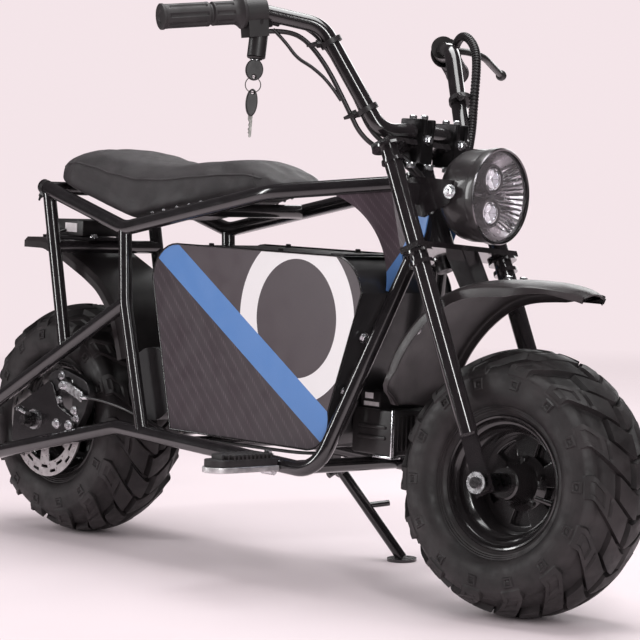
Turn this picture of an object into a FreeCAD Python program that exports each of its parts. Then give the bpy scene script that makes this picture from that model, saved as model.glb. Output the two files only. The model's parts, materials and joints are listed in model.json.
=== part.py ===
import FreeCAD, Part
import math
import os
import re
import Sketcher
from FreeCAD import Placement, Rotation, Vector

# A small off-road minibike, parked on its side stand.
# Millimetres and degrees. Everything is drawn on the upright machine: +X forward,
# +Y to the rider's left, +Z up, from the floor under the rear axle. At the end each
# piece is leaned over, the front end is steered, and the origin goes to the middle
# of the floor that the machine covers.

SIZES = (
    # name, value, meaning
    # Wheels
    ("wheelbase", 940, "rear axle to front axle"),
    ("tyre_diameter", 355, "over the tread"),
    ("tyre_width", 145, "widest part of the tyre"),
    ("tread_crown", 100, "radius of the tread across the tyre"),
    ("tread_width", 112, "tread from shoulder to shoulder"),
    ("rim_diameter", 178, "over the rim's flanges"),
    ("rim_width", 104, "over the rim's flanges"),
    ("rim_wall", 4, "pressed steel rim"),
    ("hub_diameter", 44, "wheel hub"),
    ("hub_width", 96, "wheel hub, end to end"),
    ("hub_gap", 0.4, "hub end from its spacer"),
    ("axle_diameter", 15, "both axles"),
    ("axle_play", 0.05, "hub bore over axle, on the radius"),
    # Attitude
    ("lean", 3, "lean to the left on the stand"),
    ("steer_rest", 9, "steering to the left as parked"),
    ("rake", 25, "steering axis from the vertical"),
    ("fork_lead", 30, "axle and fork legs ahead of the steering axis"),
    # Frame tubes
    ("frame_tube", 22, "main frame tube"),
    ("brace_tube", 20, "posts and cross tubes"),
    ("frame_half", 100, "middle of a side tube from the centre plane"),
    ("neck_half", 17, "middle of a tube from the centre plane at the neck"),
    ("rail_rear_z", 536, "height of the seat hoop at the back"),
    ("rail_low_x", 205, "lowest point of the seat rail, ahead of the rear axle"),
    ("rail_low_z", 480, "lowest point of the seat rail, height"),
    ("rail_turn_x", 528, "where the seat rail turns in to the neck"),
    ("rail_turn_z", 545, "height there"),
    ("neck_top_z", 566, "top rail meets the neck"),
    ("neck_low_z", 504, "down tube meets the neck"),
    ("post_kink_x", 212, "bend in the middle post"),
    ("post_kink_z", 370, "height there"),
    ("post_foot_x", 263, "middle post on the lower rail"),
    ("cradle_front_x", 645, "corner of the cradle, front"),
    ("cradle_front_z", 164, "corner of the cradle, front, height"),
    ("cradle_kink_x", 203, "bend in the lower rail"),
    ("cradle_kink_z", 185, "height there"),
    ("cradle_bend", 52, "bend radius of the cradle"),
    ("loop_x", -92, "rear loop's middle behind the axle"),
    ("loop_z", 155, "rear loop's middle, height"),
    ("loop_radius", 41, "rear loop, middle of the tube"),
    ("rear_post_top_x", 14, "rear post under the hoop"),
    ("rear_post_foot_x", 68, "rear post on the stay"),
    ("neck_diameter", 42, "head tube"),
    ("neck_over", 8, "head tube beyond the tubes that it carries"),
    ("stem_diameter", 24, "steering stem"),
    ("stem_play", 0.05, "head tube bore over stem, on the radius"),
    ("plate", 5, "brackets cut from plate"),
    ("sheet", 2.5, "covers and panels"),
    # Seat
    ("seat_rear_x", 6, "back of the seat"),
    ("seat_front_x", 478, "front of the seat"),
    ("seat_half", 104, "half of the seat's greatest width"),
    ("seat_nose_half", 58, "half of its width at the front"),
    ("seat_top_z", 584, "seat height"),
    ("seat_kick", 8, "rise at the back of the seat"),
    ("seat_gap", 0.3, "seat over its rails"),
    # Battery box
    ("box_half", 86, "half of the box's width"),
    ("box_top_z", 463, "top of the box"),
    ("box_low_z", 190, "underside of the box"),
    ("box_rear_x", 264, "upper rear corner"),
    ("box_rear_low_x", 332, "lower rear corner"),
    ("box_front_x", 708, "upper front corner"),
    ("box_front_low_x", 622, "lower front corner"),
    ("box_nose_z", 426, "height of the front corner"),
    ("box_corner", 18, "rounding of the outline"),
    ("box_edge", 4, "rounding of the side edges"),
    ("controller_x", 736, "front of the controller box"),
    ("controller_top_z", 256, "top of the controller box"),
    ("controller_half", 46, "half of the controller box's width"),
    # Drive
    ("motor_diameter", 108, "motor"),
    ("motor_length", 130, "motor"),
    ("motor_x", 246, "motor shaft ahead of the rear axle"),
    ("motor_z", 252, "motor shaft height"),
    ("motor_y", -8, "middle of the motor"),
    ("chain_y", 82.2, "chain line"),
    ("chain_height", 9, "chain, side plate height"),
    ("chain_width", 9, "chain, over the side plates"),
    ("sprocket_thick", 3, "both sprockets"),
    ("sprocket_rear", 150, "rear sprocket, pitch diameter"),
    ("sprocket_front", 42, "motor sprocket, pitch diameter"),
    ("sprocket_gap", 0.5, "sprocket tips from the chain"),
    ("disc_diameter", 178, "rear brake disc"),
    ("disc_y", 79, "brake disc from the centre plane"),
    ("disc_thick", 3, "brake disc"),
    # Front end
    ("leg_diameter", 25, "fork leg"),
    ("leg_half", 95, "middle of a leg from the centre plane"),
    ("leg_top_z", 606, "top of a leg"),
    ("leg_foot_z", 238, "lower end of a leg"),
    ("clamp_top_z", 598, "upper fork clamp"),
    ("clamp_low_z", 462, "lower fork clamp"),
    ("clamp_thick", 8, "fork clamp plates"),
    ("bar_diameter", 22, "handlebar"),
    ("bar_clamp_x", 741, "handlebar in its clamps"),
    ("bar_clamp_z", 632, "handlebar in its clamps, height"),
    ("bar_corner_y", 94, "lower corner of the handlebar"),
    ("bar_top_x", 648, "upper bend of the handlebar"),
    ("bar_top_y", 146, "upper bend, from the centre plane"),
    ("bar_top_z", 762, "upper bend, height"),
    ("bar_end_x", 524, "end of the handlebar"),
    ("bar_end_y", 326, "end of the handlebar, from the centre plane"),
    ("bar_end_z", 751, "end of the handlebar, height"),
    ("grip_diameter", 33, "rubber grip"),
    ("grip_length", 118, "rubber grip"),
    ("lamp_diameter", 130, "headlight rim"),
    ("lamp_x", 862, "headlight glass"),
    ("lamp_z", 553, "middle of the headlight, height"),
    ("lamp_depth", 74, "headlight shell, front to back"),
    ("lamp_drum", 48, "straight side of the headlight shell"),
    ("fender_gap", 84, "front fender over the tyre"),
    ("fender_half", 75, "half of the front fender's width"),
    # Rear fender and tail
    ("tail_z", 457, "tail bracket, middle height"),
    ("plate_thin", 4, "thin brackets"),
    ("rear_fender_half", 68, "half of the rear fender's width"),
    # Side stand
    ("stand_x", 452, "stand pivot ahead of the rear axle"),
    ("stand_y", 122, "stand pivot from the centre plane"),
    ("stand_z", 140, "stand pivot height"),
    ("stand_tube", 16, "stand leg"),
    ("stand_foot", 44, "stand foot plate"),
    # Footpegs
    ("peg_x", 560, "footpeg ahead of the rear axle"),
    ("peg_z", 172, "footpeg height"),
    ("peg_length", 118, "footpeg beyond the frame"),
)

os.makedirs("parts", exist_ok=True)
doc = FreeCAD.newDocument("minibike")
sheet = doc.addObject("Spreadsheet::Sheet", "Sizes")
for row, (name, value, meaning) in enumerate(SIZES, 1):
    sheet.set(f"A{row}", name)
    sheet.set(f"B{row}", str(value))
    sheet.set(f"C{row}", meaning)
    sheet.setAlias(f"B{row}", name)
doc.recompute()
NAMES = {name for name, value, meaning in SIZES}
S = {name: float(sheet.get(name)) for name in NAMES}
UP = Vector(0, 0, 1)
LEFT = Vector(0, 1, 0)


def bound(formula):
    """A formula in the sheet's names, as the document writes it."""
    return re.sub(r"[a-z_]+", lambda m: "Sizes." + m[0] if m[0] in NAMES else m[0], str(formula))


def number(formula):
    return float(sheet.evalExpression(bound(formula)))


# Points of the upright machine

TAN_RAKE = math.tan(math.radians(S["rake"]))
COS_RAKE = math.cos(math.radians(S["rake"]))
AXLE_Z = S["tyre_diameter"] / 2
STEER_AXIS = Vector(-math.sin(math.radians(S["rake"])), 0, COS_RAKE)
FRONT_AXLE = Vector(S["wheelbase"], 0, AXLE_Z)
REAR_AXLE = Vector(0, 0, AXLE_Z)
AXIS_FOOT = FRONT_AXLE - Vector(COS_RAKE, 0, math.sin(math.radians(S["rake"]))) * S["fork_lead"]


def axis_at(z):
    """The steering axis at a height."""
    return AXIS_FOOT + STEER_AXIS * ((z - AXIS_FOOT.z) / COS_RAKE)


def leg_at(z, side=-1):
    """The middle of a fork leg at a height."""
    return Vector(axis_at(z).x + S["fork_lead"] / COS_RAKE, side * S["leg_half"], z)


# The battery box from the side

BOX_OUTLINE = [
    ("box_rear_low_x", "box_low_z"),
    ("box_rear_x", "box_top_z - 20"),
    ("box_rear_x + 20", "box_top_z"),
    ("box_front_x - 62", "box_top_z"),
    ("box_front_x", "box_nose_z"),
    ("box_front_low_x", "box_low_z"),
]


# Small makers, each of a document object bound to the sheet


def body(name):
    return doc.addObject("PartDesign::Body", name)


def origin(owner, role):
    return next(f for f in owner.Origin.OriginFeatures if f.Role == role)


def sketch(owner, plane, outlines):
    """A closed outline or several on a plane of the body. Each point is (x, y) or, where an
    arc leads on to the next point, (x, y, x through, y through), in sheet formulas."""
    drawn = owner.newObject("Sketcher::SketchObject", owner.Name + "_outline")
    drawn.AttachmentSupport = [(origin(owner, plane), "")]
    drawn.MapMode = "FlatFace"
    for outline in outlines:
        first = drawn.GeometryCount
        points = [Vector(number(p[0]), number(p[1]), 0) for p in outline]
        starts = []
        for i, p in enumerate(outline):
            here, there = points[i], points[(i + 1) % len(points)]
            clockwise = False
            if len(p) == 4:
                via = Vector(number(p[2]), number(p[3]), 0)
                clockwise = (via - here).cross(there - via).z < 0
                drawn.addGeometry(Part.Arc(here, via, there))
            else:
                drawn.addGeometry(Part.LineSegment(here, there))
            # An arc's ends are counted anticlockwise.
            starts.append(2 if clockwise else 1)
        for i, p in enumerate(outline):
            start = starts[i]
            k = (i + 1) % len(points)
            drawn.addConstraint(Sketcher.Constraint("Coincident", first + i, 3 - start, first + k, starts[k]))
            for axis, formula, value in (("X", p[0], points[i].x), ("Y", p[1], points[i].y)):
                k = drawn.addConstraint(
                    Sketcher.Constraint("Distance" + axis, -1, 1, first + i, start, value)
                )
                drawn.renameConstraint(k, f"{axis.lower()}{first + i}")
                if not isinstance(formula, (int, float)):
                    drawn.setExpression(f"Constraints.{axis.lower()}{first + i}", bound(formula))
    return drawn


def slab(name, plane, outlines, thickness, shift=(0, 0, 0), turn=None):
    """A pad to both sides of a plane."""
    owner = body(name)
    pad = owner.newObject("PartDesign::Pad", name + "_pad")
    pad.Profile = sketch(owner, plane, outlines)
    pad.SideType = "Symmetric"
    pad.setExpression("Length", bound(thickness))
    owner.Placement = Placement(Vector(*shift), turn or Rotation())
    return owner


def turned(name, outlines, shift=(0, 0, 0), turn=None):
    """A revolution about Y of an outline in X, the radius, and Y."""
    owner = body(name)
    spin = owner.newObject("PartDesign::Revolution", name + "_turn")
    spin.Profile = sketch(owner, "XY_Plane", outlines)
    spin.ReferenceAxis = (origin(owner, "Y_Axis"), [""])
    spin.Angle = 360
    owner.Placement = Placement(Vector(*shift), turn or Rotation())
    return owner


def rounded(name, owner, radius, along):
    """Fillets on the straight edges that run along a direction."""
    doc.recompute()
    edges = []
    for i, edge in enumerate(owner.Shape.Edges, 1):
        if edge.Curve.TypeId == "Part::GeomLine" and abs(edge.tangentAt(0).dot(along)) > 0.999:
            edges.append(f"Edge{i}")
    fillet = owner.newObject("PartDesign::Fillet", name + "_round")
    fillet.Base = (owner.Tip, edges)
    fillet.setExpression("Radius", bound(radius))
    return owner


def rod(name, start, end, diameter):
    """A round bar from point to point."""
    bar = doc.addObject("Part::Cylinder", name)
    bar.setExpression("Radius", bound(f"({diameter}) / 2"))
    bar.Height = start.distanceToPoint(end)
    bar.Placement = Placement(start, Rotation(UP, end - start))
    return bar


def block(name, low, high, turn=None):
    """A box between two corners."""
    cut = doc.addObject("Part::Box", name)
    cut.Length, cut.Width, cut.Height = high[0] - low[0], high[1] - low[1], high[2] - low[2]
    cut.Placement = Placement(Vector(*low), turn or Rotation())
    return cut


def route(points, bends):
    """Straight runs joined by tangent arcs."""
    edges = []
    start = points[0]
    for before, corner, after, bend in zip(points, points[1:], points[2:], bends):
        into = Vector(corner - before).normalize()
        out = Vector(after - corner).normalize()
        half = into.getAngle(out) / 2
        first = corner - into * bend * math.tan(half)
        last = corner + out * bend * math.tan(half)
        middle = corner + Vector(out - into).normalize() * (bend / math.cos(half) - bend)
        if start.distanceToPoint(first) > 1e-4:
            edges.append(Part.LineSegment(start, first).toShape())
        edges.append(Part.Arc(first, middle, last).toShape())
        start = last
    edges.append(Part.LineSegment(start, points[-1]).toShape())
    return Part.Wire(edges)


def tube(name, points, bends, diameter):
    """A round section swept along a bent line."""
    spine = doc.addObject("Part::Feature", name + "_line")
    spine.Shape = route(points, bends)
    ring = doc.addObject("Part::Circle", name + "_ring")
    ring.setExpression("Radius", bound(f"({diameter}) / 2"))
    ring.Placement = Placement(points[0], Rotation(UP, points[1] - points[0]))
    sweep = doc.addObject("Part::Sweep", name)
    sweep.Sections = [ring]
    sweep.Spine = (spine, [f"Edge{i + 1}" for i in range(len(spine.Shape.Edges))])
    sweep.Solid = True
    return sweep


def strip(name, points, bends, half_width, skirt):
    """A sheet with turned-down edges, swept along a bent line in the middle plane."""
    spine = doc.addObject("Part::Feature", name + "_line")
    spine.Shape = route(points, bends)
    aim = Vector(points[1] - points[0]).normalize()
    inward = LEFT.cross(aim)
    thick = S["sheet"]
    turn_in = 6
    corners = [(-half_width, skirt), (-half_width, turn_in), (-half_width + turn_in, 0),
               (half_width - turn_in, 0), (half_width, turn_in), (half_width, skirt),
               (half_width - thick, skirt), (half_width - thick, turn_in + 1),
               (half_width - turn_in - 1, thick), (-half_width + turn_in + 1, thick),
               (-half_width + thick, turn_in + 1), (-half_width + thick, skirt)]
    section = doc.addObject("Part::Feature", name + "_section")
    section.Shape = Part.makePolygon([points[0] + LEFT * y + inward * d for y, d in corners + corners[:1]])
    sweep = doc.addObject("Part::Sweep", name)
    sweep.Sections = [section]
    sweep.Spine = (spine, [f"Edge{i + 1}" for i in range(len(spine.Shape.Edges))])
    sweep.Solid = True
    return sweep


def cut(name, base, *tools):
    for i, tool in enumerate(tools):
        less = doc.addObject("Part::Cut", name if i == len(tools) - 1 else f"{name}_less{i}")
        less.Base, less.Tool = base, tool
        base = less
    return base


def fused(name, *pieces):
    whole = doc.addObject("Part::MultiFuse", name)
    whole.Shapes = list(pieces)
    return whole


def common(name, *pieces):
    shared = doc.addObject("Part::MultiCommon", name)
    shared.Shapes = list(pieces)
    return shared


def mirrored(name, piece):
    """The same piece on the left."""
    other = doc.addObject("Part::Mirroring", name)
    other.Source = piece
    other.Normal = LEFT
    return other


def pair(name, right):
    """A right piece and its mirror image, as one sub-part of two solids."""
    both = doc.addObject("Part::Compound", name)
    both.Links = [right, mirrored(name + "_left", right)]
    return both


NODES = []


def sub_part(piece, group, label=None):
    """Name a finished piece and note which moving group it belongs to. The piece itself stays
    where it is drawn, so that others can be cut to fit it, and its sub-part is moved."""
    label = label or piece.Name
    piece.Label = label + "_as_drawn"
    placed = doc.addObject("Part::Compound", "placed_" + label)
    placed.Links = [piece]
    placed.Label = label
    NODES.append((placed, group))
    return piece


def side(x, z, y=None):
    """A point in the plane of the right side tubes."""
    return Vector(x, -S["frame_half"] if y is None else -y, z)


# Head tube and steering stem


def head_tube():
    low = axis_at(S["clamp_low_z"] + S["clamp_thick"] / 2 + 3)
    high = axis_at(S["neck_top_z"] + S["neck_over"] + 6)
    tube_wall = rod("neck_outer", low, high, "neck_diameter")
    bore = rod("neck_bore", low, high, "stem_diameter + 2 * stem_play")
    return sub_part(cut("head_tube", tube_wall, bore), "frame")


def steering_stem():
    stem = rod("steering_stem", axis_at(S["clamp_low_z"] - 14), axis_at(S["clamp_top_z"] + 16), "stem_diameter")
    return sub_part(stem, "steering")


# Frame


def frame():
    neck = rod("neck_solid", axis_at(440), axis_at(640), "neck_diameter")
    rail_rear = side(0, S["rail_rear_z"])
    rail_low = side(S["rail_low_x"], S["rail_low_z"])
    rail_turn = side(S["rail_turn_x"], S["rail_turn_z"])
    neck_top = side(axis_at(S["neck_top_z"]).x, S["neck_top_z"], S["neck_half"])
    rail = tube("rail", [rail_rear, rail_low, rail_turn, neck_top], [60, 90], "frame_tube")
    rail_coped = cut("rail_coped", rail, neck)
    sub_part(pair("seat_rails", rail_coped), "frame")

    neck_low = side(axis_at(S["neck_low_z"]).x, S["neck_low_z"], S["neck_half"])
    corner = side(S["cradle_front_x"], S["cradle_front_z"])
    kink = side(S["cradle_kink_x"], S["cradle_kink_z"])
    split = corner + (neck_low - corner) * 0.22
    down = tube("down", [neck_low, split], [], "frame_tube")
    down_coped = cut("down_coped", down, neck, rail)
    down_both = pair("down_pair", down_coped)
    sub_part(down_both, "frame", "down_tubes")

    # The lower rail runs back, loops round behind the axle and comes forward as the stay.
    stay_end = side(S["post_kink_x"], S["post_kink_z"])
    reach = S["loop_radius"] * 1.0
    loop_low = side(S["loop_x"] - reach, S["loop_z"] - S["loop_radius"] * 1.12)
    loop_high = side(S["loop_x"] - reach, S["loop_z"] + S["loop_radius"] * 0.62)
    lower = tube(
        "lower",
        [split, corner, kink, loop_low, loop_high, stay_end],
        [S["cradle_bend"], 90, 34, 34],
        "frame_tube",
    )
    mid = tube(
        "mid",
        [rail_low, side(S["post_kink_x"], S["post_kink_z"]), side(S["post_foot_x"], S["cradle_kink_z"] - 3)],
        [70],
        "brace_tube",
    )
    mid_coped = cut("mid_coped", mid, rail, lower)
    lower_both = pair("lower_pair", lower)
    sub_part(lower_both, "frame", "lower_rails")
    sub_part(pair("middle_posts", mid_coped), "frame")

    stay_start = loop_high
    share = (S["rear_post_foot_x"] - stay_start.x) / (stay_end.x - stay_start.x)
    foot = stay_start + (stay_end - stay_start) * share
    rear_top_z = S["rail_rear_z"] + (S["rail_low_z"] - S["rail_rear_z"]) * S["rear_post_top_x"] / S["rail_low_x"]
    post = rod("rear_post", side(S["rear_post_top_x"], rear_top_z), foot, "brace_tube")
    sub_part(pair("rear_posts", cut("rear_post_coped", post, rail, lower)), "frame")

    # Cross tubes: hoop at the back, under the box, at the front of the cradle.
    spots = (
        ("hoop", S["rear_post_top_x"] - 2, rear_top_z + 1),
        ("seat_brace", S["rail_low_x"] + 170, S["rail_low_z"] + 24),
        ("box_rear", S["box_rear_low_x"] + 40, 0),
        ("box_front", S["cradle_front_x"] - 46, 0),
        ("tail", 34, S["tail_z"] - 12),
    )
    slope = (S["cradle_front_z"] - S["cradle_kink_z"]) / (S["cradle_front_x"] - S["cradle_kink_x"])
    bars = []
    ends = {}
    for label, x, z in spots:
        if label.startswith("box"):
            z = S["cradle_kink_z"] + slope * (x - S["cradle_kink_x"])
        if label == "seat_brace":
            z = S["rail_low_z"] + (S["rail_turn_z"] - S["rail_low_z"]) * 170 / (S["rail_turn_x"] - S["rail_low_x"])
        bar = rod("cross_" + label, side(x, z), side(x, z, -S["frame_half"]), "brace_tube")
        ends[label] = (side(x, z), side(x, z, -S["frame_half"]))
        others = {"hoop": (rail, post), "seat_brace": (rail,), "box_rear": (lower,), "box_front": (lower,),
                  "tail": (post,)}
        tools = [t for piece in others[label] for t in (piece, mirrored(f"{piece.Name}_for_{label}", piece))]
        bars.append(cut("cross_" + label + "_coped", bar, *tools))
    crosses = doc.addObject("Part::Compound", "cross_tubes")
    crosses.Links = bars
    sub_part(crosses, "frame")

    # Dropout plates in the rear triangle
    plate = slab(
        "dropout",
        "XZ_Plane",
        [[(-62, 128), (30, 146), (92, 163), (60, 274), (0, 236), (-62, 204)]],
        "plate",
        (0, -S["frame_half"], 0),
    )
    slot = rod("dropout_slot", side(0, AXLE_Z, 60), side(0, AXLE_Z, 140), "axle_diameter")
    sub_part(pair("dropout_plates", cut("dropout_cut", plate, slot, lower, post)), "frame")

    # Side panels between the top rail and the down tube
    aim = Vector(rail_turn - neck_top).normalize()
    down_aim = Vector(corner - neck_low).normalize()
    normal = Vector(down_aim.cross(aim)).normalize()
    across = Vector(normal.cross(aim)).normalize()
    if across.z > 0:
        across = across * -1
    turn = Rotation(aim, across, aim.cross(across), "XYZ")
    reach = 168
    drop = 146
    panel = slab(
        "gusset",
        "XY_Plane",
        [[(18, 0), (reach, 0, 70, 44), (40, drop), (14, drop + 8)]],
        "sheet",
        (0, 0, 0),
    )
    panel.Placement = Placement(neck_top, turn)
    box_room = slab("panel_box_room", "XZ_Plane", [BOX_OUTLINE], "box_half * 2 + 0.6")
    sub_part(pair("side_panels", cut("gusset_coped", panel, rail, down, neck, box_room)), "frame")
    return {"rail": rail, "lower": lower, "down": down, "post": post, "mid": mid,
            "rail_points": [rail_rear, rail_low, rail_turn, neck_top], "rail_bends": [60, 90],
            "hoop_ends": ends["hoop"], "brace_ends": ends["seat_brace"], "tail_bars": bars[-1:]}


def seat(parts):
    """A padded seat with a low middle where the rails dip, narrow at the front."""
    low = S["rail_low_z"] + S["frame_tube"] / 2
    rise = S["frame_tube"] / 2 - 1
    rear_x, front_x = S["seat_rear_x"], S["seat_front_x"]
    rear_z = S["rail_rear_z"] + rise
    front_z = S["rail_low_z"] + (front_x - S["rail_low_x"]) * (S["rail_turn_z"] - S["rail_low_z"]) / (
        S["rail_turn_x"] - S["rail_low_x"]) + rise
    top = S["seat_top_z"]
    profile = slab(
        "seat_profile",
        "XZ_Plane",
        [[
            (rear_x, rear_z),
            (S["rail_low_x"], low),
            (front_x, front_z),
            (front_x - 12, front_z + 14, front_x - 60, top - 8),
            (front_x - 120, top, 230, top - 8),
            (96, top + S["seat_kick"] - 2, 55, top + S["seat_kick"]),
            (20, top - 6),
        ]],
        "seat_half * 2",
    )
    half, nose = S["seat_half"], S["seat_nose_half"]
    plan = slab(
        "seat_plan",
        "XY_Plane",
        [[
            (rear_x + 26, -half + 14, rear_x, 0),
            (rear_x + 26, half - 14, rear_x + 60, half),
            (rear_x + 150, half - 2, rear_x + 320, half - 18),
            (front_x - 30, nose, front_x, 0),
            (front_x - 30, -nose, rear_x + 320, -half + 18),
            (rear_x + 150, -half + 2, rear_x + 60, -half),
        ]],
        400,
        (0, 0, S["seat_top_z"]),
    )
    pad = common("seat_pad", profile, plan)
    fat = "frame_tube + 2 * seat_gap"
    right = tube("seat_rail_room", parts["rail_points"], parts["rail_bends"], fat)
    hoop = rod("seat_hoop_room", *parts["hoop_ends"], "brace_tube + 2 * seat_gap")
    brace = rod("seat_brace_room", *parts["brace_ends"], "brace_tube + 2 * seat_gap")
    return sub_part(cut("seat", pad, right, mirrored("seat_rail_room_left", right), hoop, brace), "frame")


def battery_box():
    box = slab("battery_box", "XZ_Plane", [BOX_OUTLINE], "box_half * 2")
    return sub_part(box, "frame")


def controller_box():
    """It hangs on the front of the battery box."""
    box = slab("controller", "XZ_Plane", [[
        ("box_front_low_x + 1.5", "box_low_z + 3"),
        ("controller_x", "box_low_z + 3"),
        ("controller_x", "controller_top_z"),
        ("box_front_low_x + (box_front_x - box_front_low_x) * (controller_top_z - box_low_z)"
         " / (box_nose_z - box_low_z) + 0.3", "controller_top_z"),
    ]], "controller_half * 2")
    return sub_part(box, "frame", "controller_box")


def drive():
    y = S["motor_y"]
    half = S["motor_length"] / 2
    can = rod("motor_can", Vector(S["motor_x"], y - half, S["motor_z"]), Vector(S["motor_x"], y + half, S["motor_z"]),
              "motor_diameter")
    sub_part(can, "frame", "motor")

    # The chain is a band round both sprockets, its inner side just clear of their teeth.
    front = Vector(S["motor_x"], 0, S["motor_z"])
    rear = REAR_AXLE
    shapes = {}
    for kind, grow in (("out", S["chain_height"] / 2), ("in", -S["chain_height"] / 2)):
        wide = S["sprocket_rear"] / 2 + grow
        thin = S["sprocket_front"] / 2 + grow
        span = front - rear
        length = span.Length
        lie = math.atan2(span.z, span.x)
        open_angle = math.asin((wide - thin) / length)
        up = lie + math.pi / 2 - open_angle
        down = lie - math.pi / 2 + open_angle

        def on(centre, radius, angle):
            return Vector(centre.x + radius * math.cos(angle), 0, centre.z + radius * math.sin(angle))

        loop = Part.Wire([
            Part.LineSegment(on(rear, wide, up), on(front, thin, up)).toShape(),
            Part.Arc(on(front, thin, up), on(front, thin, lie), on(front, thin, down)).toShape(),
            Part.LineSegment(on(front, thin, down), on(rear, wide, down)).toShape(),
            Part.Arc(on(rear, wide, down), on(rear, wide, lie + math.pi), on(rear, wide, up)).toShape(),
        ])
        shapes[kind] = Part.Face(loop).extrude(Vector(0, S["chain_width"], 0))
    chain = doc.addObject("Part::Feature", "drive_chain")
    chain.Shape = shapes["out"].cut(shapes["in"])
    chain.Placement = Placement(Vector(0, S["chain_y"] - S["chain_width"] / 2, 0), Rotation())
    sub_part(chain, "frame")

    start = Vector(S["motor_x"], y + half, S["motor_z"])
    shaft = rod("motor_shaft", start, Vector(S["motor_x"], S["chain_y"] + 4.5, S["motor_z"]), 14)
    half = S["sprocket_thick"] / 2
    wheel = rod("motor_sprocket_disc", Vector(S["motor_x"], S["chain_y"] - half, S["motor_z"]),
                Vector(S["motor_x"], S["chain_y"] + half, S["motor_z"]),
                "sprocket_front - chain_height - 2 * sprocket_gap")
    sub_part(fused("motor_sprocket", shaft, wheel), "frame")


def rear_fender(parts):
    """A sheet arch over the rear tyre, level at the back where the tail bracket lies on it."""
    level = S["tail_z"] - S["plate_thin"] / 2
    line = [(-88, level), (-36, level), (20, 436), (71, 414), (109, 394), (146, 356), (161, 318), (172, 284)]
    points = [Vector(x, 0, z) for x, z in line]
    arch = strip("rear_arch", points, [60, 120, 200, 120, 90, 200], S["rear_fender_half"], 16)
    return sub_part(cut("rear_fender", arch, *parts["tail_bars"]), "frame")


def tail(parts):
    top = S["tail_z"] + S["plate_thin"] / 2
    plate = block("tail_plate", (-86, -34, top - S["plate_thin"]), (48, 34, top))
    sub_part(cut("tail_bracket", plate, *parts["tail_bars"]), "frame")
    lamp = block("lamp_block", (-70, -38, top), (22, 38, top + 28))
    sub_part(cut("tail_light", lamp, *parts["tail_bars"]), "frame")


def rear_axle():
    end = S["frame_half"] + 26
    bar = rod("axle_bar_rear", Vector(0, -end, AXLE_Z), Vector(0, end, AXLE_Z), "axle_diameter")
    nuts = []
    for sign, inner in ((-1, S["disc_y"] + S["disc_thick"]), (1, S["chain_y"] + S["sprocket_thick"] / 2)):
        y = sign * (S["frame_half"] + S["plate"] / 2)
        nuts.append(rod(f"rear_nut_{sign + 1}", Vector(0, y, AXLE_Z), Vector(0, y + sign * 12, AXLE_Z), 24))
        inside = inner + S["hub_gap"]
        nuts.append(rod(f"rear_spacer_{sign + 1}", Vector(0, sign * inside, AXLE_Z),
                        Vector(0, sign * (S["frame_half"] - S["plate"] / 2), AXLE_Z), 26))
    return sub_part(fused("rear_axle", bar, *nuts), "frame")


def caliper():
    block_high = block("caliper_block", (34, -97.5, 204), (76, -70, 240))
    slot = turned("caliper_slot", [[
        (0, "-disc_y - disc_thick / 2 - 1"),
        ("disc_diameter / 2 + 1.5", "-disc_y - disc_thick / 2 - 1"),
        ("disc_diameter / 2 + 1.5", "-disc_y + disc_thick / 2 + 1"),
        (0, "-disc_y + disc_thick / 2 + 1"),
    ]], REAR_AXLE)
    return sub_part(cut("brake_caliper", block_high, slot), "frame")


def footpegs():
    y = S["frame_half"] + S["frame_tube"] / 2
    base = block("peg_base", (S["peg_x"] - 24, -y - S["peg_length"], S["peg_z"] - 12),
                 (S["peg_x"] + 24, -y, S["peg_z"] - 4))
    sub_part(pair("footpeg_bases", base), "frame")
    pad = block("peg_pad", (S["peg_x"] - 22, -y - S["peg_length"] + 4, S["peg_z"] - 4),
                (S["peg_x"] + 22, -y - 8, S["peg_z"] + 12))
    sub_part(pair("footpeg_pads", pad), "frame")


# Front end, drawn with the wheel straight


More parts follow.
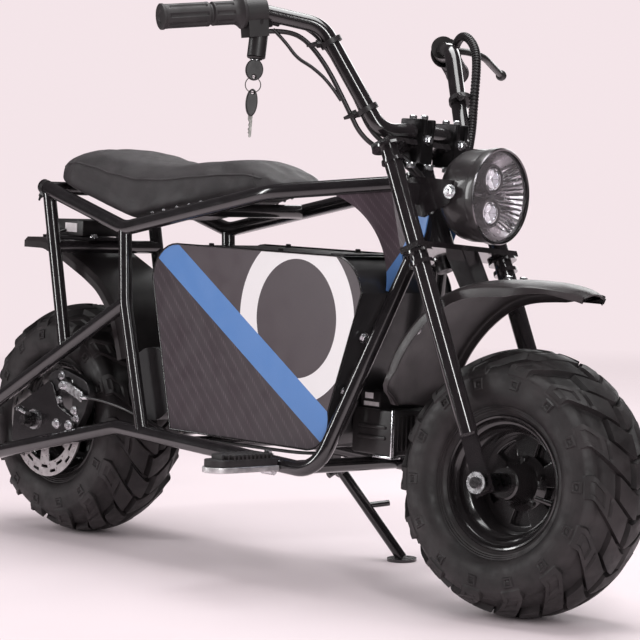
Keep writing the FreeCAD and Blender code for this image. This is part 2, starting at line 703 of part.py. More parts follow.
def fork():
    legs = []
    leg = rod("leg_bar", leg_at(S["leg_foot_z"]), leg_at(S["leg_top_z"]), "leg_diameter")
    foot = leg_at(AXLE_Z)
    rise = leg_at(S["leg_foot_z"] + 24) - foot
    plate = slab("leg_plate", "XY_Plane", [[(-14, -16), (14, -16), (11, rise.Length), (-11, rise.Length)]],
                 "plate", (0, 0, 0), None)
    plate.Placement = Placement(foot, Rotation(Vector(COS_RAKE, 0, -STEER_AXIS.x), STEER_AXIS, LEFT * -1, "XYZ"))
    hole = rod("leg_hole", foot - LEFT * 20, foot + LEFT * 20, "axle_diameter")
    legs.append(cut("leg", fused("leg_whole", leg, plate), hole))
    sub_part(pair("fork_legs", legs[0]), "steering")

    end = S["leg_half"] + 18
    bar = rod("axle_bar_front", FRONT_AXLE - LEFT * end, FRONT_AXLE + LEFT * end, "axle_diameter")
    nuts = []
    for sign in (-1, 1):
        y = sign * (S["leg_half"] + S["plate"] / 2)
        nuts.append(rod(f"front_nut_{sign + 1}", FRONT_AXLE + LEFT * y, FRONT_AXLE + LEFT * (y + sign * 10), 24))
        nuts.append(rod(f"front_spacer_{sign + 1}", FRONT_AXLE + LEFT * sign * (S["hub_width"] / 2 + S["hub_gap"]),
                        FRONT_AXLE + LEFT * sign * (S["leg_half"] - S["plate"] / 2), 26))
    sub_part(fused("front_axle", bar, *nuts), "steering")

    across = Rotation(Vector(COS_RAKE, 0, -STEER_AXIS.x), LEFT, STEER_AXIS, "XYZ")
    for label, z in (("upper_clamp", S["clamp_top_z"]), ("lower_clamp", S["clamp_low_z"])):
        half = S["leg_half"] + S["leg_diameter"] / 2 + 5
        lead = S["fork_lead"]
        plate = slab(label + "_plate", "XY_Plane", [[
            (lead - 16, -half),
            (lead + 16, -half),
            (lead + 16, half),
            (lead - 16, half),
            (lead - 16, 28, -S["stem_diameter"] / 2 - 6, 0),
            (lead - 16, -28),
        ]], "clamp_thick")
        plate.Placement = Placement(axis_at(z), across)
        holes = []
        for i, y in enumerate((-1, 1)):
            holes.append(rod(f"{label}_hole{i}", leg_at(z - 40, y), leg_at(z + 40, y), "leg_diameter"))
        holes.append(rod(f"{label}_hole2", axis_at(z - 40), axis_at(z + 40), "stem_diameter"))
        sub_part(cut(label, plate, *holes), "steering")


def front_fender():
    """A sheet arch that stands high over the tyre and reaches forward as a beak."""
    crown = S["tyre_diameter"] + S["fender_gap"]
    # Ahead of the axle, over the crown
    line = [(84, -8), (60, 3), (-35, 3), (-90, -4), (-140, -22), (-184, -51), (-210, -99), (-218, -155)]
    points = [Vector(S["wheelbase"] + x, 0, crown + z) for x, z in line]
    arch = strip("front_arch", list(reversed(points)), [110, 95, 120, 160, 160, 40], S["fender_half"], 20)
    half = S["fender_half"] + 1
    beak = slab("front_beak", "XY_Plane", [[
        (-240, -half), (-10, -half), (70, -48, 84, 0), (70, 48), (-10, half), (-240, half),
    ]], 400, (S["wheelbase"], 0, crown - 60))
    return sub_part(common("front_fender", arch, beak), "steering")


def struts(fender):
    """Two flat bars from the lower clamp down to the fender."""
    level = Vector(COS_RAKE, 0, -STEER_AXIS.x)
    front = axis_at(S["clamp_low_z"]) + level * (S["fork_lead"] + 16)
    rear = front - level * 26
    low = Vector(front.x + 24, 0, S["tyre_diameter"] + S["fender_gap"] - 20)
    bars = []
    for i, y in enumerate((-17, 17)):
        bar = slab(f"strut{i}", "XZ_Plane", [[
            (low.x - 14, low.z), (low.x + 12, low.z), (front.x, front.z), (rear.x, rear.z)
        ]], 4, (0, y, 0))
        bars.append(bar)
    both = doc.addObject("Part::Compound", "strut_bars")
    both.Links = bars
    half_space = slab("strut_below", "XZ_Plane", [[
        (-240, -220), (160, -220), (160, 15), (-40, 22), (-90, 15), (-150, -6),
    ]], 100, (S["wheelbase"], 0, low.z))
    sub_part(cut("fender_struts", both, fender, half_space, doc.getObject("lower_clamp")), "steering")


def headlight():
    centre = Vector(S["lamp_x"], 0, S["lamp_z"])
    turn = Rotation(LEFT, Vector(1, 0, 0))
    shell = turned("headlight_shell", [[
        (0, "-lamp_depth"),
        ("lamp_diameter / 4", "-lamp_depth + 1", "lamp_diameter / 2 - 13", "-lamp_depth + 10"),
        ("lamp_diameter / 2 - 4", "-lamp_drum"),
        ("lamp_diameter / 2 - 2", "-12"),
        ("lamp_diameter / 2", "-12"),
        ("lamp_diameter / 2", 0),
        ("lamp_diameter / 2 - 3", 0),
        ("lamp_diameter / 2 - 3", "-6"),
        (0, "-6"),
    ]], centre, turn)
    sub_part(shell, "steering")
    lens = turned("headlight_lens", [[
        (0, "-6"), ("lamp_diameter / 2 - 3", "-6"), ("lamp_diameter / 2 - 3", "-1"), (0, 2),
    ]], centre, turn)
    sub_part(lens, "steering")
    # Two plates on lugs of the fork legs hold the shell at its sides.
    leg = leg_at(S["lamp_z"] - 6)
    inner = S["lamp_diameter"] / 2
    plate = slab("lamp_plate", "XZ_Plane", [[
        (leg.x - 12, leg.z - 26), (leg.x + 16, leg.z - 30), (S["lamp_x"] - 34, S["lamp_z"] - 15),
        (S["lamp_x"] - 34, S["lamp_z"] + 15), (leg.x + 2, leg.z + 24), (leg.x - 18, leg.z + 20),
    ]], 7, (0, -inner + 0.5, 0))
    lug = block("lamp_lug", (leg.x - 10, -S["leg_half"], leg.z - 14), (leg.x + 8, -inner, leg.z + 14))
    held = cut("lamp_holder", fused("lamp_plate_lug", plate, lug), shell, doc.getObject("leg"))
    sub_part(pair("headlight_bracket", held), "steering")


def handlebar():
    def at(x, y, z):
        return Vector(x, y, z)

    right = [
        at(S["bar_clamp_x"], 0, S["bar_clamp_z"]),
        at(S["bar_clamp_x"], -50, S["bar_clamp_z"]),
        at(S["bar_clamp_x"] - 18, -S["bar_corner_y"], S["bar_clamp_z"] - 6),
        at(S["bar_top_x"], -S["bar_top_y"], S["bar_top_z"]),
        at((S["bar_top_x"] + S["bar_end_x"]) / 2, -(2 * S["bar_top_y"] + S["bar_end_y"]) / 3, S["bar_end_z"] + 23),
        at(S["bar_end_x"], -S["bar_end_y"], S["bar_end_z"]),
    ]
    left = [Vector(p.x, -p.y, p.z) for p in right[1:]]
    points = list(reversed(left)) + right[1:]
    bends = [60, 40, 34, 60, 60, 34, 40, 60]
    bar = tube("handlebar", points, bends, "bar_diameter")
    sub_part(bar, "steering")

    grip_in, grip_out = right[-2], right[-1]
    aim = Vector(grip_out - grip_in).normalize()
    start = grip_out - aim * (S["grip_length"] - 4)
    sleeve = rod("grip_sleeve", start, grip_out + aim * 4, "grip_diameter")
    collar = rod("grip_collar", start, start + aim * 5, "grip_diameter + 12")
    core = rod("grip_core", start - aim * 10, grip_out, "bar_diameter")
    sub_part(pair("grips", cut("grip", fused("grip_whole", sleeve, collar), core)), "steering")

    house_start = start - aim * 30
    house = rod("throttle_drum", house_start, start - aim * 1, 40)
    box = block("throttle_box", (-16, -14, -34), (16, 14, 0))
    along = Placement(house_start + aim * 14.5, Rotation(aim.cross(UP), aim, UP, "YZX"))
    box.Placement = along.multiply(box.Placement)
    sub_part(cut("throttle_housing", fused("throttle_whole", house, box), bar), "steering")

    mirror_aim = Vector(aim.x, -aim.y, aim.z)
    perch_start = Vector(start.x, -start.y, start.z) - mirror_aim * 28
    perch = rod("perch_ring", perch_start, perch_start + mirror_aim * 24, 34)
    arm = tube("lever_arm", [
        perch_start + mirror_aim * 12,
        perch_start + mirror_aim * 12 + Vector(62, 6, -4),
        perch_start + mirror_aim * 120 + Vector(86, 0, -8),
    ], [24], 10)
    knob = doc.addObject("Part::Sphere", "lever_knob")
    knob.Radius = 8
    knob.Placement = Placement(perch_start + mirror_aim * 120 + Vector(86, 0, -8), Rotation())
    sub_part(cut("brake_lever", fused("lever_whole", perch, arm, knob), bar), "steering")

    clamps = []
    for i, y in enumerate((-37, 37)):
        clamp = block(f"clamp{i}", (S["bar_clamp_x"] - 18, y - 13, S["clamp_top_z"] - 8),
                      (S["bar_clamp_x"] + 18, y + 13, S["bar_clamp_z"] + 16))
        clamps.append(clamp)
    pair_of = doc.addObject("Part::Compound", "clamp_blocks")
    pair_of.Links = clamps
    sub_part(cut("bar_clamps", pair_of, bar, doc.getObject("upper_clamp")), "steering")


# Wheels


def wheel(label, axle, group):
    tyre = turned(label + "_tyre", [[
        ("rim_diameter / 2 - 3", "-rim_width / 2 + rim_wall"),
        ("rim_diameter / 2 + 0.3", "-rim_width / 2 + 0.3", "rim_diameter / 2 + 18", "-tyre_width / 2 + 6"),
        ("(tyre_diameter - 2 * 48) / 2", "-tyre_width / 2", "tyre_diameter / 2 - 29", "-tread_width / 2 - 9"),
        ("tyre_diameter / 2 - tread_crown + sqrt(tread_crown ^ 2 - tread_width ^ 2 / 4)", "-tread_width / 2",
         "tyre_diameter / 2", 0),
        ("tyre_diameter / 2 - tread_crown + sqrt(tread_crown ^ 2 - tread_width ^ 2 / 4)", "tread_width / 2",
         "tyre_diameter / 2 - 29", "tread_width / 2 + 9"),
        ("(tyre_diameter - 2 * 48) / 2", "tyre_width / 2", "rim_diameter / 2 + 18", "tyre_width / 2 - 6"),
        ("rim_diameter / 2 + 0.3", "rim_width / 2 - 0.3"),
        ("rim_diameter / 2 - 3", "rim_width / 2 - rim_wall"),
    ]], axle)
    sub_part(tyre, group)
    rim = turned(label + "_rim", [[
        ("axle_diameter / 2 + axle_play", "-hub_width / 2"),
        ("hub_diameter / 2", "-hub_width / 2"),
        ("hub_diameter / 2", "-14"),
        ("rim_diameter / 2 - 22", "-8"),
        ("rim_diameter / 2 - 14", "-rim_width / 2 + 14"),
        ("rim_diameter / 2 - 7", "-rim_width / 2"),
        ("rim_diameter / 2", "-rim_width / 2"),
        ("rim_diameter / 2 - 3", "-rim_width / 2 + rim_wall"),
        ("rim_diameter / 2 - 3", "rim_width / 2 - rim_wall"),
        ("rim_diameter / 2", "rim_width / 2"),
        ("rim_diameter / 2 - 7", "rim_width / 2"),
        ("rim_diameter / 2 - 14", "rim_width / 2 - 14"),
        ("rim_diameter / 2 - 22", 8),
        ("hub_diameter / 2", 14),
        ("hub_diameter / 2", "hub_width / 2"),
        ("axle_diameter / 2 + axle_play", "hub_width / 2"),
    ]], axle)
    sub_part(rim, group)


def rear_wheel_parts():
    disc = turned("brake_disc", [[
        ("hub_diameter / 2", "-disc_y - disc_thick / 2"),
        ("disc_diameter / 2", "-disc_y - disc_thick / 2"),
        ("disc_diameter / 2", "-disc_y + disc_thick / 2"),
        ("hub_diameter / 2", "-disc_y + disc_thick / 2"),
    ]], REAR_AXLE)
    carrier = turned("disc_carrier", [[
        ("axle_diameter / 2 + axle_play", "-disc_y - disc_thick"),
        ("hub_diameter / 2 + 6", "-disc_y - disc_thick"),
        ("hub_diameter / 2 + 6", "-disc_y + disc_thick"),
        ("hub_diameter / 2", "-hub_width / 2"),
        ("axle_diameter / 2 + axle_play", "-hub_width / 2"),
    ]], REAR_AXLE)
    sub_part(fused("rear_brake_disc", disc, carrier), "rear_wheel")
    sprocket = turned("sprocket_disc", [[
        ("axle_diameter / 2 + axle_play", "hub_width / 2"),
        ("hub_diameter / 2", "hub_width / 2"),
        ("hub_diameter / 2 + 6", "chain_y - 4"),
        ("hub_diameter / 2 + 6", "chain_y - sprocket_thick / 2"),
        ("(sprocket_rear - chain_height) / 2 - sprocket_gap", "chain_y - sprocket_thick / 2"),
        ("(sprocket_rear - chain_height) / 2 - sprocket_gap", "chain_y + sprocket_thick / 2"),
        ("axle_diameter / 2 + axle_play", "chain_y + sprocket_thick / 2"),
    ]], REAR_AXLE)
    sub_part(sprocket, "rear_wheel", "rear_sprocket")


# How the machine stands


def standing():
    """Lean, and the small pitch that puts both tyres on the floor."""
    crown = S["tread_crown"]
    ring = S["tyre_diameter"] / 2 - crown
    lean = Placement(Vector(), Rotation(Vector(1, 0, 0), -S["lean"]))
    steer = Placement(Vector(), Rotation(STEER_AXIS, S["steer_rest"]), axis_at(0))
    pitch = 0.0
    for step in range(4):
        tilt = Placement(Vector(), Rotation(LEFT, pitch))
        whole = lean.multiply(tilt)
        lows = []
        for centre, turn in ((REAR_AXLE, Placement()), (FRONT_AXLE, steer)):
            placed = whole.multiply(turn)
            middle = placed.multVec(centre)
            spin = placed.Rotation.multVec(LEFT)
            lows.append((middle, middle.z - ring * math.sqrt(1 - spin.z ** 2) - crown))
        (rear, rear_low), (front, front_low) = lows
        pitch += math.degrees((front_low - rear_low) / S["wheelbase"])
    drop = Placement(Vector(0, 0, -rear_low), Rotation())
    return drop.multiply(whole), steer


def side_stand(stand_place):
    """A bent leg on a pivot under the left rail. It is as long as it takes to reach the floor."""
    pivot = Vector(S["stand_x"], S["stand_y"], S["stand_z"])
    aim = Vector(0.50, 0.36, -0.79).normalize()
    stowed = Vector(-0.995, 0.06, 0.08).normalize()
    axis = Vector(aim.cross(stowed)).normalize()
    down = stand_place.Rotation.inverted().multVec(UP) * -1
    sole = 4.0
    height = stand_place.multVec(pivot).z - sole
    length = height / aim.dot(down)
    foot = pivot + aim * length
    leg = rod("stand_leg", pivot, foot, "stand_tube")
    eye = rod("stand_eye", pivot - axis * 6, pivot + axis * 6, 26)
    pad = doc.addObject("Part::Cylinder", "stand_pad")
    pad.setExpression("Radius", bound("stand_foot / 2"))
    pad.Height = sole
    pad.Placement = Placement(foot + down * sole, Rotation(UP, down * -1))
    trim = doc.addObject("Part::Cylinder", "stand_floor")
    trim.Radius = 60
    trim.Height = 40
    trim.Placement = Placement(foot + down * sole, Rotation(UP, down))
    kick_from = pivot + aim * length * 0.42
    kick = rod("stand_kick", kick_from, kick_from + Vector(14, 34, 4), 9)
    bore = rod("stand_bore", pivot - axis * 20, pivot + axis * 20, 10.1)
    sub_part(cut("side_stand", fused("stand_whole", leg, eye, pad, kick), bore, trim), "side_stand")

    pin = rod("stand_pin", pivot - axis * 22, pivot + axis * 9, 10)
    lug = block("stand_lug", (S["stand_x"] - 18, S["frame_half"] - 8, S["stand_z"] - 4),
                (S["stand_x"] + 18, S["frame_half"] + 8, S["stand_z"] + 24))
    return {"pivot": pivot, "axis": axis, "pin": pin, "lug": lug, "foot": foot}


def stand_bracket(stand, parts):
    whole = fused("stand_mount", stand["pin"], stand["lug"])
    left_rail = mirrored("lower_left_for_stand", parts["lower"])
    sub_part(cut("stand_bracket", whole, left_rail), "frame")


head_tube()
steering_stem()
frame_parts = frame()
seat(frame_parts)
battery_box()
controller_box()
drive()
rear_fender(frame_parts)
tail(frame_parts)
rear_axle()
caliper()
footpegs()
fork()
struts(front_fender())
headlight()
handlebar()
wheel("front", FRONT_AXLE, "front_wheel")
wheel("rear", REAR_AXLE, "rear_wheel")
rear_wheel_parts()
place, steer = standing()
stand = side_stand(place)
stand_bracket(stand, frame_parts)
doc.recompute()


def faults():
    """What did not build, or has no sound solid."""
    found = [f"{item.Name}: {item.State}" for item in doc.Objects
             if "Invalid" in item.State or "Error" in item.State]
    for piece, group in NODES:
        if piece.Shape.isNull() or not piece.Shape.Solids or not piece.Shape.isValid():
            found.append(f"{piece.Label}: no sound solid")
    return found


if faults():
    raise RuntimeError("; ".join(faults()))

# Lean, steer and move the origin to the middle of the ground covered

TURNS = {"frame": Placement(), "rear_wheel": Placement(), "side_stand": Placement(),
         "steering": steer, "front_wheel": steer}
low, high = Vector(1e9, 1e9, 1e9), Vector(-1e9, -1e9, -1e9)
for piece, group in NODES:
    piece.Placement = place.multiply(TURNS[group])
doc.recompute()
for piece, group in NODES:
    box = piece.Shape.optimalBoundingBox(False)
    low = Vector(min(low.x, box.XMin), min(low.y, box.YMin), min(low.z, box.ZMin))
    high = Vector(max(high.x, box.XMax), max(high.y, box.YMax), max(high.z, box.ZMax))
shift = Placement(Vector(-(low.x + high.x) / 2, -(low.y + high.y) / 2, 0), Rotation())
for piece, group in NODES:
    piece.Placement = shift.multiply(piece.Placement)
doc.recompute()
if faults():
    raise RuntimeError("; ".join(faults()))

for piece, group in NODES:
    piece.Shape.exportStep(f"parts/{piece.Label}.step")
    print(group, piece.Label, len(piece.Shape.Solids), round(piece.Shape.Volume / 1000, 1), "cm3")

whole = shift.multiply(place)
print("size", high - low, "lowest", low.z)
for label, point, spin, turn in (
    ("ground under the rear axle", Vector(), Vector(1, 0, 0), Placement()),
    ("rear axle", REAR_AXLE, LEFT, Placement()),
    ("front axle", FRONT_AXLE, LEFT, steer),
    ("steering", axis_at(S["neck_low_z"]), STEER_AXIS, Placement()),
    ("stand", stand["pivot"], stand["axis"], Placement()),
    ("stand foot", stand["foot"], stand["axis"], Placement()),
):
    print(label, whole.multiply(turn).multVec(point), whole.multiply(turn).Rotation.multVec(spin))
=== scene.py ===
import json
import math

import bmesh
import bpy
from mathutils import Matrix, Vector
from mathutils.bvhtree import BVHTree


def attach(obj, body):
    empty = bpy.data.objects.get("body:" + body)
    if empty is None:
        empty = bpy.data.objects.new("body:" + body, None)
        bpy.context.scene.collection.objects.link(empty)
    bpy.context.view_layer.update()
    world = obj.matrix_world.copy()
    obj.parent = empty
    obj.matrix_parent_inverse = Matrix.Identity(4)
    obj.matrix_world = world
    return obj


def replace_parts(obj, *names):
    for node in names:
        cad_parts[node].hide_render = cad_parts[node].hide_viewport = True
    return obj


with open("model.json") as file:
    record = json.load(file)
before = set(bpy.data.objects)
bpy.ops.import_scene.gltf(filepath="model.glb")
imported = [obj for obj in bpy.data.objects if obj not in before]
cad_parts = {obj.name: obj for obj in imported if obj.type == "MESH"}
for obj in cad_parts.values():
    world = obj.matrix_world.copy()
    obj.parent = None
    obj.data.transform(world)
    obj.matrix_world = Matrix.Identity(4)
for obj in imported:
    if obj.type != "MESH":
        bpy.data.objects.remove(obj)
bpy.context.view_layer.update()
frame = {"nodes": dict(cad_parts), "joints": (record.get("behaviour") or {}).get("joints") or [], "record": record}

# The looks of a small off-road minibike. Pieces are drawn in millimetres on the upright
# machine: +X forward, +Y to the rider's left, +Z up, from the floor under the rear axle,
# with the wheel straight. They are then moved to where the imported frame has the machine.

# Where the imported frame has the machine

MM = 0.001
RAKE = math.radians(25)
STEERED = math.radians(9)
AXLE_Z = 177.5
WHEELBASE = 940


def joint(name):
    found = next(j for j in frame["joints"] if j["name"] == name)
    return Vector(found["pos_m"]), Vector(found["axis"]).normalized()


REAR_AXLE, LEFT = joint("rear_wheel_spin")
STEERING, STEER_AXIS = joint("steering")
ACROSS_RAKE = LEFT.cross(STEER_AXIS).normalized()
FORWARD = ACROSS_RAKE * math.cos(RAKE) - STEER_AXIS * math.sin(RAKE)
UP = ACROSS_RAKE * math.sin(RAKE) + STEER_AXIS * math.cos(RAKE)
TURN = Matrix((FORWARD, LEFT, UP)).transposed().to_4x4()
GROUND = REAR_AXLE - UP * AXLE_Z * MM
MACHINE = Matrix.Translation(GROUND) @ TURN @ Matrix.Scale(MM, 4)
STEER = (
    Matrix.Translation(STEERING)
    @ Matrix.Rotation(STEERED, 4, STEER_AXIS)
    @ Matrix.Translation(-STEERING)
)
# Each body's place for what is drawn on the upright machine, or about a wheel's own axle
PLACES = {
    "frame": MACHINE,
    "steering": STEER @ MACHINE,
    "front_wheel": STEER @ MACHINE @ Matrix.Translation((WHEELBASE, 0, AXLE_Z)),
    "rear_wheel": MACHINE @ Matrix.Translation((0, 0, AXLE_Z)),
    "side_stand": MACHINE,
}


# Materials


class Finish:
    """A material's nodes, with short ways to add and join them. Places are in the machine's
    millimetres for prints, and in the row's metres for grain."""

    def __init__(self, name, colour=(0.02, 0.02, 0.02), rough=0.4, **principled):
        self.material = bpy.data.materials.new(name)
        self.material.use_nodes = True
        self.tree = self.material.node_tree
        self.shader = self.tree.nodes["Principled BSDF"]
        self.place = self.tree.nodes.new("ShaderNodeTexCoord").outputs["Object"]
        self.set(Base_Color=(*colour, 1), Roughness=rough, **principled)

    def set(self, **inputs):
        for name, value in inputs.items():
            self.join(self.shader.inputs[name.replace("_", " ")], value)

    def join(self, socket, value):
        if isinstance(value, bpy.types.NodeSocket):
            self.tree.links.new(value, socket)
        else:
            socket.default_value = value

    def node(self, kind, inputs=None, **settings):
        made = self.tree.nodes.new("ShaderNode" + kind)
        for name, value in settings.items():
            setattr(made, name, value)
        for name, value in (inputs or {}).items():
            self.join(made.inputs[name], value)
        return made

    def maths(self, operation, *values):
        made = self.tree.nodes.new("ShaderNodeMath")
        made.operation = operation
        for socket, value in zip(made.inputs, values):
            self.join(socket, value)
        return made.outputs[0]

    def noise(self, scale, detail=4, where=None):
        made = self.node("TexNoise", {"Vector": where or self.place, "Scale": scale, "Detail": detail})
        return made.outputs["Fac"]

    def cells(self, scale, where=None, feature="F1"):
        made = self.node("TexVoronoi", {"Vector": where or self.place, "Scale": scale}, feature=feature)
        return made.outputs["Distance"]

    def ramp(self, value, low, high, start=0.0, end=1.0):
        made = self.node("MapRange", {"Value": value, "From Min": low, "From Max": high,
                                      "To Min": start, "To Max": end})
        return made.outputs[0]

    def blend(self, share, first, second):
        """Colours or sockets, first where share is 0."""
        made = self.node("Mix", data_type="RGBA")
        self.join(made.inputs[0], share)
        for socket, value in ((made.inputs[6], first), (made.inputs[7], second)):
            self.join(socket, (*value, 1) if isinstance(value, tuple) else value)
        return made.outputs[2]

    def bump(self, height, distance, strength=1.0, below=None):
        made = self.node("Bump", {"Height": height, "Distance": distance, "Strength": strength})
        if below:
            self.join(made.inputs["Normal"], below)
        return made.outputs[0]

    def mottled(self, colour, other, scale, low=0.35, high=0.65):
        """Two colours in soft patches, put on the shader."""
        share = self.ramp(self.noise(scale), low, high)
        self.set(Base_Color=self.blend(share, colour, other))

    def worn(self, rough, other, scale):
        """Roughness that drifts between two values."""
        self.set(Roughness=self.ramp(self.noise(scale), 0.35, 0.65, rough, other))

    def on_machine(self):
        """Places in the upright machine's millimetres, as x, y and z."""
        upright = self.node("Mapping", {"Vector": self.place, "Location": GROUND,
                                        "Rotation": TURN.to_euler(), "Scale": (MM, MM, MM)},
                            vector_type="TEXTURE")
        return self.node("SeparateXYZ", {"Vector": upright.outputs[0]}).outputs


def paint(name, colour, rough, coat):
    """Sprayed paint with a little orange peel under a clear coat."""
    finish = Finish(name, colour, rough, Coat_Weight=coat, Coat_Roughness=0.05)
    finish.mottled(colour, tuple(c * 1.5 for c in colour), 60)
    finish.worn(rough, rough * 1.35, 25)
    peel = finish.noise(900, 2)
    dust = finish.noise(6000, 2)
    finish.set(Normal=finish.bump(dust, 0.00003, 0.4, finish.bump(peel, 0.00008, 0.5)))
    return finish.material


def moulded(name, colour, rough, grain, depth):
    """Moulded plastic or rubber with a fine pebbled grain."""
    finish = Finish(name, colour, rough)
    finish.mottled(colour, tuple(c * 1.45 for c in colour), 45)
    finish.worn(rough, rough * 1.25, 30)
    pebbles = finish.cells(grain)
    soft = finish.noise(grain / 8)
    finish.set(Normal=finish.bump(pebbles, depth, 0.6, finish.bump(soft, depth * 3, 0.4)))
    return finish.material


def metal(name, colour, rough, cast=0.0):
    """Bare or plated metal: drifting roughness, fine scratches and, if cast, a sandy skin."""
    finish = Finish(name, colour, rough, Metallic=1.0)
    finish.mottled(colour, tuple(c * 0.78 for c in colour), 90)
    finish.worn(rough, rough * 1.6, 140)
    stretched = finish.node("Mapping", {"Vector": finish.place, "Scale": (1, 9, 1)})
    marks = finish.noise(1200, 3, stretched.outputs[0])
    normal = finish.bump(marks, 0.00003, 0.2)
    if cast:
        normal = finish.bump(finish.noise(1800, 3), cast, 0.8, normal)
    finish.set(Normal=normal)
    return finish.material


def tyre_rubber():
    """Dull black rubber with a bloom of dust and a faint grain."""
    finish = Finish("tyre_rubber", rough=0.5, Specular_IOR_Level=0.5)
    dusty = finish.ramp(finish.noise(22, 6), 0.4, 0.72)
    finish.set(Base_Color=finish.blend(dusty, (0.010, 0.008, 0.0085), (0.024, 0.019, 0.020)))
    finish.worn(0.46, 0.7, 60)
    grain = finish.noise(1500, 4)
    finish.set(Normal=finish.bump(grain, 0.0002, 0.6, finish.bump(finish.noise(140, 3), 0.0006, 0.4)))
    return finish.material


def seat_vinyl():
    """Matt black vinyl with a leather grain of small cells and finer wrinkles."""
    finish = Finish("seat_vinyl", rough=0.5, Specular_IOR_Level=0.5, Sheen_Weight=0.12,
                    Sheen_Roughness=0.4, Sheen_Tint=(0.9, 0.85, 0.87, 1))
    finish.mottled((0.016, 0.013, 0.0145), (0.026, 0.021, 0.023), 35)
    finish.worn(0.42, 0.56, 50)
    cells = finish.cells(700, feature="DISTANCE_TO_EDGE")
    creases = finish.ramp(cells, 0.0, 0.12)
    wrinkles = finish.noise(260, 6)
    finish.set(Normal=finish.bump(creases, 0.00025, 0.7, finish.bump(wrinkles, 0.0006, 0.5)))
    return finish.material


# The print of the battery box, in the machine's millimetres from the side
STRIPE_LINE = (0.5396, 0.8419)      # across the stripe
STRIPE_FROM, STRIPE_TO = 514.6, 557.6
RING_CENTRE = (575, 371)
RING_OUTER, RING_INNER = 119, 83
PRINT_Y = 84.5                      # the print is outside this on each side
BLUE = (0.090, 0.222, 0.520)
WHITE = (0.86, 0.83, 0.84)
PRINT_DARK = (0.058, 0.043, 0.050)
WEAVE_DARK = (0.043, 0.030, 0.037)
WEAVE_LIGHT = (0.098, 0.073, 0.086)


def slant(finish, x, z, line):
    """How far a place lies along a direction of the side view."""
    return finish.maths("ADD", finish.maths("MULTIPLY", x, line[0]), finish.maths("MULTIPLY", z, line[1]))


def between(finish, value, low, high):
    """1 where a value is between two others."""
    return finish.maths("COMPARE", value, (low + high) / 2, (high - low) / 2)


def printed(finish):
    """The skin of a print: drifting gloss and a faint unevenness."""
    finish.worn(0.3, 0.4, 40)
    finish.set(Normal=finish.bump(finish.noise(500, 3), 0.0001, 0.4))
    return finish.material


def weave(finish, x, z, size):
    """How light the weave is at a place: columns of short slanting dashes."""
    across = slant(finish, x, z, (0.733, 0.68))
    along = slant(finish, x, z, (0.68, -0.733))
    column = finish.maths("PINGPONG", across, size / 2)
    band = finish.ramp(column, size * 0.30, size * 0.44)
    slanted = finish.maths("ADD", along, finish.maths("MULTIPLY", across, 1.1))
    dash = finish.ramp(finish.maths("PINGPONG", slanted, size * 0.2), size * 0.06, size * 0.13)
    faint = finish.ramp(finish.noise(70, 3), 0.3, 0.7, 0.35, 1.0)
    return finish.maths("MULTIPLY", finish.maths("MULTIPLY", band, dash), faint)


def box_print():
    """Dark weave under a blue stripe, plain dark above it with a white ring."""
    finish = Finish("panel_print", rough=0.32, Coat_Weight=0.25, Coat_Roughness=0.12)
    x, y, z = finish.on_machine()
    above = slant(finish, x, z, STRIPE_LINE)
    in_stripe = between(finish, above, STRIPE_FROM, STRIPE_TO)
    over = finish.maths("GREATER_THAN", above, STRIPE_TO)
    from_centre = finish.maths("POWER", finish.maths("ADD",
        finish.maths("POWER", finish.maths("SUBTRACT", x, RING_CENTRE[0]), 2),
        finish.maths("POWER", finish.maths("SUBTRACT", z, RING_CENTRE[1]), 2)), 0.5)
    in_ring = finish.maths("MULTIPLY", over, between(finish, from_centre, RING_INNER, RING_OUTER))
    woven = finish.blend(weave(finish, x, z, 15.4), WEAVE_DARK, WEAVE_LIGHT)
    speckle = finish.ramp(finish.noise(1600, 2), 0.3, 0.7, 0.0, 1.0)
    plain = finish.blend(speckle, PRINT_DARK, tuple(c * 1.3 for c in PRINT_DARK))
    blue = finish.blend(speckle, BLUE, tuple(c * 1.12 for c in BLUE))
    colour = finish.blend(over, woven, plain)
    colour = finish.blend(in_ring, colour, WHITE)
    colour = finish.blend(in_stripe, colour, blue)
    on_side = finish.maths("GREATER_THAN", finish.maths("ABSOLUTE", y), PRINT_Y)
    colour = finish.blend(on_side, (0.016, 0.015, 0.016), colour)
    finish.set(Base_Color=colour)
    return printed(finish)


# The print of the panels beside the neck, a blue stripe on dark weave
NECK_STRIPE_LINE = (0.866, -0.5)
NECK_STRIPE_FROM, NECK_STRIPE_TO = 390.0, 419.5


def neck_print():
    finish = Finish("neck_print", rough=0.32, Coat_Weight=0.25, Coat_Roughness=0.12)
    x, y, z = finish.on_machine()
    across = slant(finish, x, z, NECK_STRIPE_LINE)
    in_stripe = between(finish, across, NECK_STRIPE_FROM, NECK_STRIPE_TO)
    woven = finish.blend(weave(finish, x, z, 9), tuple(c * 1.7 for c in WEAVE_DARK),
                         tuple(c * 1.4 for c in WEAVE_LIGHT))
    finish.set(Base_Color=finish.blend(in_stripe, woven, BLUE))
    return printed(finish)


def clear_glass():
    finish = Finish("lens_glass", (0.97, 0.98, 1.0), 0.02, Transmission_Weight=1.0, IOR=1.45)
    finish.worn(0.01, 0.04, 80)
    finish.set(Normal=finish.bump(finish.noise(120, 2), 0.00002, 0.3))
    return finish.material


def red_lens():
    finish = Finish("tail_lens", rough=0.12, Coat_Weight=0.6)
    ribs = finish.node("TexWave", {"Vector": finish.place, "Scale": 160.0})
    finish.set(Base_Color=finish.blend(ribs.outputs["Fac"], (0.30, 0.004, 0.006), (0.55, 0.02, 0.02)))
    finish.worn(0.1, 0.2, 200)
    finish.set(Normal=finish.bump(ribs.outputs["Fac"], 0.0004, 0.6))
    return finish.material


